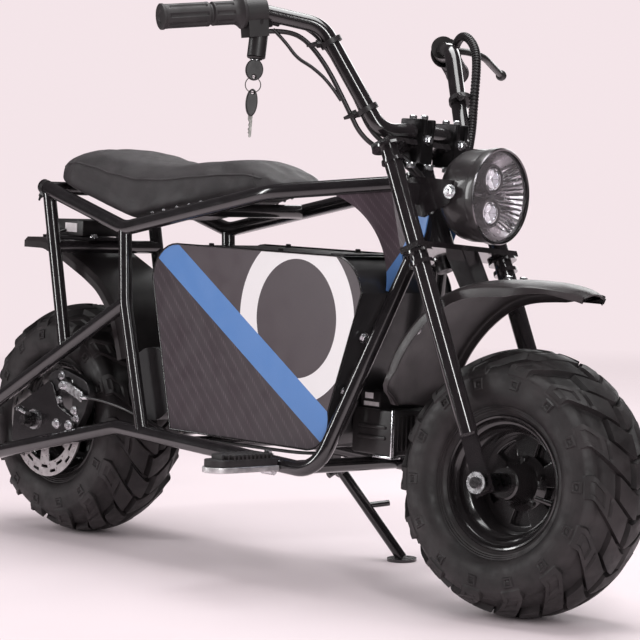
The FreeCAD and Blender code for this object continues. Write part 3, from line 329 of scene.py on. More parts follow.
# Colour, roughness and share of clear coat
PAINTS = {
    "frame_paint": ((0.010, 0.0085, 0.0095), 0.16, 0.8),
    "fork_paint": ((0.011, 0.009, 0.010), 0.13, 0.9),
    "rim_paint": ((0.010, 0.0085, 0.009), 0.18, 0.7),
    "motor_paint": ((0.006, 0.005, 0.006), 0.46, 0.05),
    "lever_paint": ((0.014, 0.013, 0.013), 0.3, 0.3),
    "gloss_black": ((0.010, 0.009, 0.0095), 0.1, 0.9),
    "gloss_black_satin": ((0.018, 0.015, 0.016), 0.3, 0.3),
}
# Colour, roughness, pebbles a metre and their depth
MOULDINGS = {
    "dark_plastic": ((0.013, 0.011, 0.0115), 0.4, 1500, 0.00008),
    "fender_plastic": ((0.020, 0.016, 0.017), 0.34, 2200, 0.00005),
    "controller_plastic": ((0.13, 0.105, 0.115), 0.5, 1800, 0.00008),
    "rubber": ((0.018, 0.015, 0.016), 0.52, 1200, 0.0001),
    "cable_black": ((0.013, 0.011, 0.012), 0.34, 1000, 0.00005),
    "white_plate": ((0.62, 0.58, 0.59), 0.4, 900, 0.00003),
    "lamp_inside": ((0.022, 0.018, 0.020), 0.3, 900, 0.00004),
}
# Colour, roughness and, where cast, the depth of the sandy skin
METALS = {
    "chain_steel": ((0.22, 0.21, 0.20), 0.36),
    "disc_steel": ((0.62, 0.60, 0.60), 0.26),
    "zinc_steel": ((0.80, 0.80, 0.82), 0.2),
    "cast_alloy": ((0.74, 0.72, 0.73), 0.38, 0.0002),
    "dark_alloy": ((0.055, 0.052, 0.054), 0.36, 0.00012),
    "chrome": ((0.86, 0.86, 0.87), 0.07),
    "black_steel": ((0.10, 0.095, 0.098), 0.22),
    "dark_chrome": ((0.20, 0.19, 0.20), 0.16),
    "reflector": ((0.62, 0.58, 0.60), 0.24),
}
MATERIALS = {
    "panel_print": box_print(),
    "neck_print": neck_print(),
    "seat_vinyl": seat_vinyl(),
    "tyre_rubber": tyre_rubber(),
    "tail_lens": red_lens(),
    "lens_glass": clear_glass(),
}
for maker, table in ((paint, PAINTS), (moulded, MOULDINGS), (metal, METALS)):
    for name, row in table.items():
        MATERIALS[name] = maker(name, *row)

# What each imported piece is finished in, where that isn't its record's slot
OTHER_FINISH = {"side_panels": "neck_print", "controller_box": "controller_plastic",
                "steering_stem": "dark_alloy", "front_axle": "black_steel", "rear_axle": "black_steel"}
SLOTS = {piece["node"]: piece["material_slot"] for piece in frame["record"]["subparts"]}


def finish_frame():
    for name, piece in frame["nodes"].items():
        material = MATERIALS[OTHER_FINISH.get(name, SLOTS[name])]
        if not piece.material_slots:
            piece.data.materials.append(material)
        for slot in piece.material_slots:
            slot.material = material


finish_frame()


# Making pieces


def piece(name, mesh, body, material, slot=None, smooth=40):
    """A finished mesh, drawn in the body's own millimetres, riding on that body."""
    if isinstance(mesh, bmesh.types.BMesh):
        bmesh.ops.recalc_face_normals(mesh, faces=mesh.faces)
        data = bpy.data.meshes.new(name)
        mesh.to_mesh(data)
        mesh.free()
        mesh = data
    mesh.transform(PLACES[body])
    mesh.materials.append(MATERIALS[material])
    mesh.shade_smooth()
    mesh.set_sharp_from_angle(angle=math.radians(smooth))
    made = bpy.data.objects.new(name, mesh)
    bpy.context.scene.collection.objects.link(made)
    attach(made, body)
    return made


def grid_faces(mesh, rings, closed=False):
    """Faces between rings of vertices, each ring closed or open."""
    for first, second in zip(rings, rings[1:]):
        count = len(first)
        for i in range(count if closed else count - 1):
            j = (i + 1) % count
            mesh.faces.new((first[i], first[j], second[j], second[i]))


def around(radius, angle, y=0.0):
    """A place about Y, its angle counted from the top."""
    return Vector((radius * math.sin(angle), y, radius * math.cos(angle)))


def lathe(mesh, profile, steps, centre=(0, 0, 0), turn=None):
    """A skin about Y through the points (radius, y)."""
    place = Matrix.Translation(centre) @ (turn or Matrix())
    angles = [2 * math.pi * i / steps for i in range(steps)]
    rings = [[mesh.verts.new(place @ around(radius, angle, y)) for angle in angles] for radius, y in profile]
    grid_faces(mesh, rings, closed=True)
    return rings


def turned(mesh, profile, steps=48, centre=(0, 0, 0), turn=None):
    """A body of revolution about Y, whose profile is a closed loop."""
    rings = lathe(mesh, profile, steps, centre, turn)
    grid_faces(mesh, [rings[-1], rings[0]], closed=True)


# Tyres: a carcass with long shoulder lugs that sweep up to the middle of the tread, and
# shorter lugs between their tips.

TREAD_TOP = 177.5
CROWN_RADIUS = 100          # of the tread, seen from behind
TREAD_EDGE = 58             # how far from its middle the tread ends
PITCHES = 14                # lugs round each side
LUG_HEIGHT = 8.5
LUG_WALL = 1.6              # a lug's side, seen from above
LUG_RADIUS = 170            # where the lugs' pitch is measured
SWEEP = math.radians(21)    # how far a lug leans round the tyre from its foot to its tip
BEAD_RADIUS = 84            # of the hidden inner side
MARK_RELIEF = 1.9
# From the tread's edge round the shoulder and down the sidewall to the bead: radius and y
SIDEWALL = [(155, 63.5), (149, 66.8), (143, 69.2), (137, 71.0), (131, 72.0), (125, 72.4), (119, 72.2),
            (113, 71.0), (108, 68.6), (104, 65.4), (101.5, 62.4), (100.5, 60.2), (98.8, 60.0), (98.0, 58.2),
            (96.2, 57.9), (95.4, 56.2), (93.4, 55.8), (91.5, 53.2), (89.5, 52.0), (88.2, 50.2)]
# Shares of a pitch at which the skin has a column of corners
COLUMNS = [0.0, 0.02, 0.035, 0.125, 0.14, 0.165, 0.19, 0.205, 0.235, 0.265, 0.295, 0.31, 0.335, 0.36, 0.375,
           0.445, 0.46, 0.475, 0.49, 0.505, 0.52, 0.54, 0.555, 0.64, 0.66, 0.69, 0.735, 0.765, 0.81, 0.84,
           0.86, 0.925, 0.94, 0.955, 0.975]
LUG_FOOT = 82               # how far down the sidewall a lug reaches, along the line
SHOULDER_LUG = (0.02, 0.46, 13, LUG_FOOT)      # from, to round a pitch, and along the line
MIDDLE_LUG = (0.54, 0.94, -5, 34)
POCKET = (0.14, 0.36, 56, 72)                  # a recess in the shoulder lug
MARK = (0.14, 0.36, 88, 101)                   # a raised square below the lug's foot
SLIT = (0.10, 0.40, 44.5, 46.5)                # a cut across the shoulder lug
DOT = (0.235, 0.265, 94, 95.2)                 # in the middle of the square


def tyre_line():
    """The outside of the lugs from the middle of the tread to the bead, as (radius, y, way
    along the line). Near the square its points lie closer."""
    points = []
    for way in range(0, TREAD_EDGE, 3):
        angle = way / CROWN_RADIUS
        points.append((TREAD_TOP - CROWN_RADIUS * (1 - math.cos(angle)), CROWN_RADIUS * math.sin(angle)))
    points += SIDEWALL
    full = []
    way = 0.0
    last = Vector(points[0])
    for point in points:
        here = Vector(point)
        step = (here - last).length
        near_mark = MARK[2] - 4 < way + step and way < MARK[3] + 4
        parts = 4 if near_mark else (2 if step > 4 and way > 50 else 1)
        for i in range(1, parts + 1):
            full.append((*last.lerp(here, i / parts), way + step * i / parts))
        way += step
        last = here
    return full


def step_up(value, low, high, wall):
    """1 between low and high, falling to 0 over a wall outside them."""
    inside = min(value - low, high - value)
    share = max(0.0, min(1.0, inside / wall + 1))
    return share * share * (3 - 2 * share)


def lug_share(u, way):
    """How much of a lug's height stands at a place round a pitch and along the line."""
    wall_u = LUG_WALL / (2 * math.pi * LUG_RADIUS / PITCHES)
    share = 0.0
    for lug in (SHOULDER_LUG, MIDDLE_LUG):
        for shift in (-1, 0, 1):
            share = max(share, inside_patch(u + shift, way, lug, wall_u, 2.4))
    return share


def inside_patch(round_pitch, way, patch, wall_u, wall):
    """1 on a patch given by from and to round a pitch and along the line, 0 beyond its walls."""
    return step_up(round_pitch, patch[0], patch[1], wall_u) * step_up(way, patch[2], patch[3], wall)


def tyre_height(u, way, side):
    """How far the rubber stands over the carcass. The left side's lugs are half a pitch on."""
    here, opposite = (u, (u + 0.5) % 1.0) if side > 0 else ((u + 0.5) % 1.0, u)
    height = lug_share(here, way)
    if way <= 4:
        height = max(height, lug_share(opposite, -way))
    fade = 1 - max(0.0, min(1.0, (way - 66) / (LUG_FOOT - 66)))
    lug = LUG_HEIGHT * height * (0.22 + 0.78 * fade)
    lug -= 2.2 * height * inside_patch(here, way, POCKET, 0.02, 1.5)
    lug -= 3.0 * height * inside_patch(here, way, SLIT, 0.01, 0.8)
    hole = (MARK[0] + 0.05, MARK[1] - 0.05, MARK[2] + 3, MARK[3] - 3)
    mark, hollow, dot = (inside_patch(here, way, patch, 0.012, 0.8) for patch in (MARK, hole, DOT))
    return lug + MARK_RELIEF * (mark - hollow + dot)


def tyre(name, body, replaced, phase):
    """One closed skin: columns lean with the lugs, so that the lugs' long sides lie on them."""
    line = tyre_line()
    sides = [(r, -y, -way) for r, y, way in reversed(line[1:])] + line
    mesh = bmesh.new()
    rings = []
    for radius, y, signed in sides:
        way = abs(signed)
        side = 1 if signed < 0 else -1
        lean = SWEEP * (1 - min(1.0, way / 70.0) ** 1.3)
        # Outward across the line
        tilt = way / CROWN_RADIUS
        if way >= TREAD_EDGE:
            tilt = math.radians(33 + 57 * min(1.0, (way - TREAD_EDGE) / 30))
        out, sideways = math.cos(tilt), math.copysign(math.sin(tilt), y)
        below = LUG_HEIGHT * (1 - max(0.0, min(1.0, (way - 60) / (LUG_FOOT - 60))))
        ring = []
        for pitch in range(PITCHES):
            for u in COLUMNS:
                angle = phase + 2 * math.pi * (pitch + u) / PITCHES + lean
                up = tyre_height(u, way, side) - below
                ring.append(mesh.verts.new(around(radius + out * up, angle, y + sideways * up)))
        rings.append(ring)
    grid_faces(mesh, rings, closed=True)
    # The inner side of the beads, hidden by the rim
    inner = []
    for ring in (rings[-1], rings[0]):
        hidden = []
        for v in ring:
            share = BEAD_RADIUS / math.hypot(v.co.x, v.co.z)
            hidden.append(mesh.verts.new((v.co.x * share, v.co.y * 0.94, v.co.z * share)))
        inner.append(hidden)
    grid_faces(mesh, [rings[-1], inner[0], inner[1], rings[0]], closed=True)
    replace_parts(piece(name, mesh, body, "tyre_rubber", smooth=38), replaced)


tyre("front_tyre_skin", "front_wheel", "front_tyre", 0.05)
tyre("rear_tyre_skin", "rear_wheel", "rear_tyre", 0.12)


# Small makers, in a body's own millimetres


def reach_of(name):
    """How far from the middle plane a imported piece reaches, in the machine's millimetres."""
    back = MACHINE.inverted()
    if name in ("fork_legs", "front_axle", "lower_clamp"):
        back = (STEER @ MACHINE).inverted()
    return max(abs((back @ v.co).y) for v in frame["nodes"][name].data.vertices)


def gather(mesh, data):
    """Adds a mesh to the piece being made."""
    mesh.from_mesh(data)
    bpy.data.meshes.remove(data)


def bar(mesh, start, end, radius, steps=20, end_radius=None):
    """A round bar, a cone or, with few steps, a bar with flats."""
    start, end = Vector(start), Vector(end)
    aim = end - start
    turn = aim.to_track_quat("Z", "Y").to_matrix().to_4x4()
    bmesh.ops.create_cone(
        mesh, cap_ends=True, segments=steps, radius1=radius,
        radius2=radius if end_radius is None else end_radius, depth=aim.length,
        matrix=Matrix.Translation((start + end) / 2) @ turn)


def bolt(mesh, place, aim, across=10, high=5, washer=9.5):
    """A hexagon head on a washer, looking along aim."""
    place, aim = Vector(place), Vector(aim).normalized()
    if washer:
        bar(mesh, place, place + aim * 1.4, washer, 24)
    bar(mesh, place + aim * 1.4, place + aim * (1.4 + high * 0.8), across * 0.577, 6)
    bar(mesh, place + aim * (1.4 + high * 0.8), place + aim * (1.4 + high), across * 0.577, 6, across * 0.46)


def block(mesh, low, high, edge=1.5, place=None):
    """A box between two corners with rounded edges."""
    size = Vector(high) - Vector(low)
    middle = (Vector(high) + Vector(low)) / 2
    made = bmesh.ops.create_cube(mesh, size=1, matrix=(place or Matrix()) @ Matrix.Translation(middle)
                                 @ Matrix.Diagonal((*size, 1)))
    edges = {e for v in made["verts"] for e in v.link_edges}
    bmesh.ops.bevel(mesh, geom=list(edges), offset=edge, segments=2, affect="EDGES", profile=0.5)


def plate(outlines, thick, edge=0.4):
    """A flat plate in X and Z: the first outline is its rim and the others are holes."""
    curve = bpy.data.curves.new("plate", "CURVE")
    curve.dimensions = "2D"
    curve.fill_mode = "BOTH"
    curve.extrude = thick / 2 - edge
    curve.bevel_depth = edge
    curve.offset = -edge
    for outline in outlines:
        line = curve.splines.new("POLY")
        line.points.add(len(outline) - 1)
        for point, (x, z) in zip(line.points, outline):
            point.co = (x, z, 0, 1)
        line.use_cyclic_u = True
    holder = bpy.data.objects.new("plate", curve)
    mesh = bpy.data.meshes.new_from_object(holder)
    bpy.data.objects.remove(holder)
    mesh.transform(Matrix.Rotation(math.radians(90), 4, "X"))
    return mesh


def add_plate(mesh, outlines, thick, edge, place):
    """Adds a flat plate at a place, or placed by a matrix."""
    data = plate(outlines, thick, edge)
    data.transform(place if isinstance(place, Matrix) else Matrix.Translation(place))
    gather(mesh, data)


def bolts(name, body, rows, material="zinc_steel"):
    """A piece of bolts, each as bolt() takes it."""
    mesh = bmesh.new()
    for row in rows:
        bolt(mesh, *row)
    piece(name, mesh, body, material, smooth=30)


def blocks(name, body, rows, material, smooth=35):
    """A piece of boxes with rounded edges, each as block() takes it."""
    mesh = bmesh.new()
    for row in rows:
        block(mesh, *row)
    return piece(name, mesh, body, material, smooth=smooth)


def arc_points(radius, start, end, steps, centre=(0, 0)):
    """Points on a circle, in degrees from the top."""
    points = []
    for i in range(steps + 1):
        angle = math.radians(start + (end - start) * i / steps)
        points.append((centre[0] + radius * math.sin(angle), centre[1] + radius * math.cos(angle)))
    return points


def disc_outline(radius):
    """The rim of a large disc."""
    return arc_points(radius, 0, 356, 89)


AXLE_HOLE = arc_points(9, 0, 340, 17)


def window(inner, outer, middle, spread, steps=8):
    """A hole between two radii, about a middle direction."""
    return (arc_points(outer, middle - spread, middle + spread, steps)
            + arc_points(inner, middle + spread * 0.86, middle - spread * 0.86, steps))


def hose(points, radius, rings=3):
    """A round hose on a smooth line through the machine's millimetres, as a mesh."""
    curve = bpy.data.curves.new("hose", "CURVE")
    curve.dimensions = "3D"
    curve.bevel_depth = radius
    curve.bevel_resolution = rings
    curve.resolution_u = 8
    curve.use_fill_caps = True
    line = curve.splines.new("NURBS")
    line.points.add(len(points) - 1)
    for point, place in zip(line.points, points):
        point.co = (*place, 1)
    line.order_u = 3
    line.use_endpoint_u = True
    holder = bpy.data.objects.new("hose", curve)
    mesh = bpy.data.meshes.new_from_object(holder)
    bpy.data.objects.remove(holder)
    return mesh


# Wheels: the rims' dishes and barrels, the slotted disc and the toothed sprocket

TO_FRONT = Matrix.Rotation(math.radians(-90), 4, "Z")     # turns Y, a lathe's axis, to X


def rim(name, body, replaced):
    """A pressed barrel with a windowed web and a hub on both sides."""
    mesh = bmesh.new()
    side = [(88.6, 50.2), (89.0, 52.0), (87.5, 53.2), (85.2, 52.4), (83.6, 49.2), (82.0, 45.5), (79.6, 43.2),
            (77.2, 42.0), (75.6, 38.5), (73.0, 33.0), (69.5, 30.0), (67.2, 27.0), (65.4, 18), (64.6, 6)]
    inner = [(66.8, 6), (67.6, 18), (70.5, 28.5), (75.0, 31.0), (80.0, 40.0), (84.0, 46.0), (86.0, 50.0)]
    loop = side + [(r, -y) for r, y in reversed(side)]
    loop += [(r, -y) for r, y in inner[::-1]] + inner
    turned(mesh, loop, 96)
    web = disc_outline(65.2)
    windows = [window(36, 57, 36 + 72 * i, 17) for i in range(5)]
    add_plate(mesh, [web] + windows + [AXLE_HOLE], 7, 1.2, (0, 0, 0))
    add_plate(mesh, [web, AXLE_HOLE], 2.4, 0.4, (0, 6.5, 0))
    for way in (-1, 1):
        hub = [(8, 50), (12, 50), (12.5, 48), (20, 48), (22.5, 46), (24, 40), (25, 20), (28, 10), (34, 5),
               (38, 3.2), (8, 3.2)]
        turned(mesh, [(r, way * y) for r, y in hub], 48)
    for i in range(5):
        for way in (-1, 1):
            bolt(mesh, around(31, math.radians(72 * i), way * 5.5), (0, way, 0), 8, 4, 6)
    # The valve, through the barrel beside a flange
    stem = ((76, -40), (64, -45), (55, -49))
    foot, middle, end = (around(radius, math.radians(105), y) for radius, y in stem)
    bar(mesh, foot, middle, 4.2, 16, 3.4)
    bar(mesh, middle, end, 3.6, 12)
    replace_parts(piece(name, mesh, body, "rim_paint", smooth=32), replaced)


def brake_disc():
    """Two rows of slots in the rubbing ring, six windows inside it and a hub."""
    slots = []
    for i in range(12):
        for inner, outer, shift in ((71.5, 76.0, 0), (79.0, 83.5, 15)):
            slots.append(window(inner, outer, 30 * i + shift, 5.2 if shift else 6.4, 4))
    holes = [window(36, 66, 60 * i + 30, 20) for i in range(6)] + [AXLE_HOLE]
    mesh = bmesh.new()
    add_plate(mesh, [disc_outline(89)] + holes + slots, 3, 0.3, (0, -79, 0))
    turned(mesh, [(8, -48.2), (22, -48.2), (27, -76), (30, -77.4), (30, -80.6), (8, -80.6)], 48)
    for i in range(6):
        bolt(mesh, around(24, math.radians(60 * i), -80.6), (0, -1, 0), 7, 3, 5)
    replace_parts(piece("brake_disc_slotted", mesh, "rear_wheel", "disc_steel", smooth=30), "rear_brake_disc")


CHAIN_PITCH = 8.0
SPROCKET_TEETH = 59
CHAIN_Y = 82.2
MOTOR_SHAFT = Vector((246, 0, 252))
# A link's outline, along and across from its first pin
LINK = ((-2.6, -3.0), (2, -2.2), (4, -2.0), (6, -2.2), (10.6, -3.0), (12.0, 0),
        (10.6, 3.0), (6, 2.2), (4, 2.0), (2, 2.2), (-2.6, 3.0), (-4.0, 0))


TOOTH = ((0.0, 72.6), (0.22, 72.9), (0.42, 77.0), (0.58, 77.0), (0.78, 72.9))     # share of a pitch, radius


def sprocket():
    outline = []
    for i in range(SPROCKET_TEETH):
        for share, radius in TOOTH:
            angle = 2 * math.pi * (i + share) / SPROCKET_TEETH
            outline.append((radius * math.sin(angle), radius * math.cos(angle)))
    holes = [window(34, 58, 60 * i, 20) for i in range(6)] + [AXLE_HOLE]
    mesh = bmesh.new()
    add_plate(mesh, [outline] + holes, 3, 0.3, (0, CHAIN_Y, 0))
    turned(mesh, [(8, 48.2), (20, 48.2), (25, 78), (28, 79.6), (28, 84.4), (8, 84.4)], 48)
    for i in range(4):
        bolt(mesh, around(23, math.radians(90 * i + 30), 84.4), (0, 1, 0), 7, 3, 5)
    made = piece("rear_sprocket_toothed", mesh, "rear_wheel", "chain_steel", smooth=30)
    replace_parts(made, "rear_sprocket")


def chain():
    """Bush links on the line round both sprockets."""
    rear, front = Vector((0, 0, AXLE_Z)), MOTOR_SHAFT
    rear_radius, front_radius = 75, 21
    apart = front - rear
    tilt = math.asin((rear_radius - front_radius) / apart.length)
    along = apart.normalized()
    upward = Vector((-along.z, 0, along.x))
    up_normal = along * math.sin(tilt) + upward * math.cos(tilt)
    down_normal = along * math.sin(tilt) - upward * math.cos(tilt)
    run = apart.length * math.cos(tilt)
    wrap_front = (math.pi - 2 * tilt) * front_radius
    wrap_rear = (math.pi + 2 * tilt) * rear_radius
    length = 2 * run + wrap_front + wrap_rear
    count = 2 * round(length / CHAIN_PITCH / 2)

    def at(way):
        """The place of a way along the loop, from the top of the rear sprocket."""
        way %= length
        if way < run:
            return (rear + up_normal * rear_radius).lerp(front + up_normal * front_radius, way / run)
        way -= run
        if way < wrap_front:
            return front + Matrix.Rotation(way / front_radius, 3, "Y") @ up_normal * front_radius
        way -= wrap_front
        if way < run:
            return (front + down_normal * front_radius).lerp(rear + down_normal * rear_radius, way / run)
        way -= run
        return rear + Matrix.Rotation(way / rear_radius, 3, "Y") @ down_normal * rear_radius

    mesh = bmesh.new()
    for i in range(count):
        here, there = at(length * i / count), at(length * (i + 1) / count)
        bar(mesh, (here.x, CHAIN_Y - 4.2, here.z), (here.x, CHAIN_Y + 4.2, here.z), 2.3, 10)
        aim = (there - here).normalized()
        across = Vector((-aim.z, 0, aim.x))
        for offset in ((-3.6, 3.6) if i % 2 else (-2.6, 2.6)):
            spots = [here + aim * forward + across * sideways for forward, sideways in LINK]
            sides = [[mesh.verts.new((spot.x, CHAIN_Y + y, spot.z)) for spot in spots]
                     for y in (offset - 0.4, offset + 0.4)]
            mesh.faces.new(sides[0])
            mesh.faces.new(sides[1])
            grid_faces(mesh, sides, closed=True)
    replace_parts(piece("chain_links", mesh, "frame", "chain_steel", smooth=30), "drive_chain")


rim("front_rim_pressed", "front_wheel", "front_rim")
rim("rear_rim_pressed", "rear_wheel", "rear_rim")
brake_disc()
sprocket()
chain()


# Headlight: a deep drum with a ribbed reflector and two projectors

LAMP = Vector((862, 0, 553))
PROJECTORS = [LAMP + Vector((0, 0, z)) for z in (-22, 22)]
# From rim to middle: radius, and how far behind the glass
REFLECTOR = ((60.5, -9), (56, -15), (50, -21), (43, -27), (35, -32), (26, -36), (12, -38), (1, -38))


def headlight():
    """The drum, its trim, the reflector with its ribs, the projectors and the side bolts."""
    def ring_piece(name, profile, material):
        mesh = bmesh.new()
        turned(mesh, profile, 96, LAMP, TO_FRONT)
        return piece(name, mesh, "steering", material, smooth=35)

    drum = ring_piece("headlight_drum", [
        (0.5, -74), (22, -73), (42, -69), (54, -62), (60, -52), (62.5, -40), (62.8, -14), (64.6, -12.5),
        (65, -11), (65, -1.5), (64, -0.2), (61.8, 0), (61, -1.5), (61, -7), (59.5, -9), (58.5, -40),
        (40, -60), (0.5, -64)], "gloss_black_satin")
    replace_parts(drum, "headlight_shell")
    ring_piece("headlight_trim_ring", [(61.4, -3.2), (61.4, -0.2), (63.4, 0.9), (64.6, -0.6), (64.0, -2.0)],
               "dark_chrome")
    # The reflector's ribs stand in two fans, left and right; above and below it is plain
    mesh = bmesh.new()
    rows = []
    steps = 240
    for radius, depth in REFLECTOR:
        row = []
        for i in range(steps):
            angle = 2 * math.pi * i / steps
            in_fan = abs(math.sin(angle)) > 0.62 and 22 < radius < 58
            rib = 1.2 if in_fan and (i // 3) % 2 else 0.0
            place = Vector((depth + rib, radius * math.sin(angle), radius * math.cos(angle)))
            row.append(mesh.verts.new(LAMP + place))
        rows.append(row)
    grid_faces(mesh, rows, closed=True)
    piece("headlight_reflector", mesh, "steering", "reflector", smooth=20)
    mesh = bmesh.new()
    for i in range(-7, 8):
        for side in (-1, 1):
            angle = math.radians(7.2 * i)
            out = Vector((0, side * math.cos(angle), math.sin(angle)))
            inner = LAMP + out * 31 + Vector((-31, 0, 0))
            outer = LAMP + out * 58.5 + Vector((-10, 0, 0))
            bar(mesh, inner, outer, 1.0, 6, 1.5)
    piece("headlight_ribs", mesh, "steering", "lamp_inside", smooth=40)
    # A dark figure of eight round the projectors
    mesh = bmesh.new()
    for spot in PROJECTORS:
        collar = [(15.5, -40), (22, -40), (21, -20), (19.5, -16.5), (17.5, -16.5), (16.2, -20)]
        turned(mesh, collar, 48, spot, TO_FRONT)
    block(mesh, LAMP + Vector((-40, -9, -6)), LAMP + Vector((-20, 9, 6)), 2)
    for side in (-1, 1):
        for tilt in (-35, 0, 35):
            turn = Matrix.Translation(LAMP) @ Matrix.Rotation(math.radians(side * tilt), 4, "X")
            block(mesh, (-39, side * 8 - 3, -2.5), (-24, side * 30 + 3, 2.5), 0.8, turn)
    piece("headlight_housing", mesh, "steering", "lamp_inside", "gloss_black", smooth=30)
    mesh = bmesh.new()
    for spot in PROJECTORS:
        bezel = [(13.2, -24), (15.8, -24), (16.0, -18.5), (14.6, -17.2), (13.2, -18.5)]
        turned(mesh, bezel, 48, spot, TO_FRONT)
        lathe(mesh, [(13.2, -22), (10, -30), (5, -34), (0.5, -35)], 48, spot, TO_FRONT)
    piece("headlight_projector_rings", mesh, "steering", "chrome", "gloss_black", smooth=30)
    mesh = bmesh.new()
    for spot in PROJECTORS:
        dome = [(0.3, -10.5), (4, -11), (8, -12.8), (11, -15.6), (12.8, -19.5), (13, -22), (0.3, -24)]
        turned(mesh, dome, 40, spot, TO_FRONT)
    piece("headlight_projector_glass", mesh, "steering", "lens_glass", smooth=50)
    mesh = bmesh.new()
    for side in (-1, 1):
        at = LAMP + Vector((-34, side * 69, 0))
        bolt(mesh, at, (0, side, 0), 12, 6, 9.5)
        bar(mesh, at, at + Vector((0, side * 9.5, 0)), 3.6, 16)
    piece("headlight_bolts", mesh, "steering", "zinc_steel", smooth=30)


headlight()


# Seat: a shaped pad on the rails, puffed a little by a cloth pass, with a welt along its
# shoulder, panel seams and staples


def curve_through(points, x):
    """Smooth height at x through points (x, height)."""
    for (x0, z0), (x1, z1) in zip(points, points[1:]):
        if x <= x1:
            share = max(0.0, min(1.0, (x - x0) / (x1 - x0)))
            return z0 + (z1 - z0) * share * share * (3 - 2 * share)
    return points[-1][1]


SEAT_TOP = [(8, 566), (22, 580), (45, 589), (75, 592), (110, 588), (160, 579), (215, 573), (265, 573),
            (330, 579), (385, 583), (425, 582), (458, 575), (482, 565), (496, 553)]
SEAT_HALF = [(8, 62), (20, 80), (40, 94), (70, 101), (160, 102), (250, 97), (330, 84), (410, 64), (460, 53),
             (482, 43), (496, 26)]


# The top of the seat rails: at the rear hoop, at the dip behind the middle, and its slope to the neck
RAIL_START = 547.6
DIP_X, DIP_Z = 205, 491.8
RAIL_SLOPE = 65 / 323


def rail_top(x):
    """The top of the seat rails."""
    if x < DIP_X:
        return RAIL_START - (RAIL_START - DIP_Z) * max(0.0, x) / DIP_X
    return DIP_Z + (x - DIP_X) * RAIL_SLOPE


def seat_ring(x, count=48):
    """A slice of the seat at x, from the bottom's right corner up and over."""
    half = curve_through(SEAT_HALF, x)
    top, low = curve_through(SEAT_TOP, x), rail_top(x) + 0.8
    points = []
    for i in range(count):
        angle = 2 * math.pi * i / count
        side, up = math.sin(angle), math.cos(angle)
        y = half * math.copysign(abs(side) ** 0.42, side)
        middle = (top + low) / 2
        rise = (top - low) / 2
        z = middle + rise * math.copysign(abs(up) ** (0.42 if up > 0 else 0.28), up)
        if up > 0:
            z -= 5.5 * (y / half) ** 2
            y *= 1 - 0.05 * up
        points.append(Vector((x, -y, z)))
    return points


def seat():
    """The pad, evened to a fine mesh, puffed and smoothed."""
    mesh = bmesh.new()
    stations = [8, 11, 16, 24] + list(range(34, 470, 10)) + [470, 478, 486, 492, 496]
    rings = [[mesh.verts.new(p) for p in seat_ring(x)] for x in stations]
    grid_faces(mesh, rings, closed=True)
    mesh.faces.new(rings[0])
    mesh.faces.new(rings[-1])
    made = piece("seat_cover", mesh, "frame", "seat_vinyl", smooth=60)
    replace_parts(made, "seat")
    remesh = made.modifiers.new("even", "REMESH")
    remesh.mode = "VOXEL"
    remesh.voxel_size = 0.0055
    remesh.use_smooth_shade = True
    bpy.context.view_layer.update()
    bake(made)
    puff(made)
    soften = made.modifiers.new("soften", "SMOOTH")
    soften.factor = 0.5
    soften.iterations = 4
    bake(made)
    finer = made.modifiers.new("finer", "SUBSURF")
    finer.levels = 1
    bake(made)
    made.data.shade_smooth()
    return made


def bake(made):
    """Applies the piece's modifiers to its mesh."""
    graph = bpy.context.evaluated_depsgraph_get()
    mesh = bpy.data.meshes.new_from_object(made.evaluated_get(graph), depsgraph=graph)
    made.modifiers.clear()
    made.data = mesh


PUFF = 0.006                # how far the cloth may move from the shaped pad, in metres
CLOTH_FRAMES = 20


def puff(made):
    """A short cloth pass under pressure, with the underside held on the rails."""
    held = made.vertex_groups.new(name="held")
    start = [v.co.copy() for v in made.data.vertices]
    back = MACHINE.inverted()
    for v in made.data.vertices:
        at = back @ v.co
        if at.z < rail_top(at.x) + 9:
            held.add([v.index], 1.0, "REPLACE")
    cloth = made.modifiers.new("cloth", "CLOTH")
    cloth.settings.use_pressure = True
    cloth.settings.uniform_pressure_force = 4.0
    cloth.settings.vertex_group_mass = "held"
    cloth.settings.effector_weights.gravity = 0.0
    cloth.point_cache.frame_end = CLOTH_FRAMES
    scene = bpy.context.scene
    for frame_number in range(1, CLOTH_FRAMES + 1):
        scene.frame_set(frame_number)
    bake(made)
    for v, before in zip(made.data.vertices, start):
        moved = v.co - before
        if moved.length > PUFF:
            v.co = before + moved.normalized() * PUFF
    scene.frame_set(1)


def surface_point(tree, start, aim):
    """Where a line from a point meets the seat, in the machine's millimetres."""
    hit = tree.ray_cast(MACHINE @ Vector(start), (MACHINE.to_3x3() @ Vector(aim)).normalized())[0]
    return MACHINE.inverted() @ hit if hit else None


def welt(tree, name, starts, aim, radius):
    """A cord sewn on the seat's skin, under each start point along aim."""
    found = [surface_point(tree, start, aim) for start in starts]
    mesh = bmesh.new()
    gather(mesh, hose([p for p in found if p], radius, 2))
    piece(name, mesh, "frame", "seat_vinyl", smooth=60)


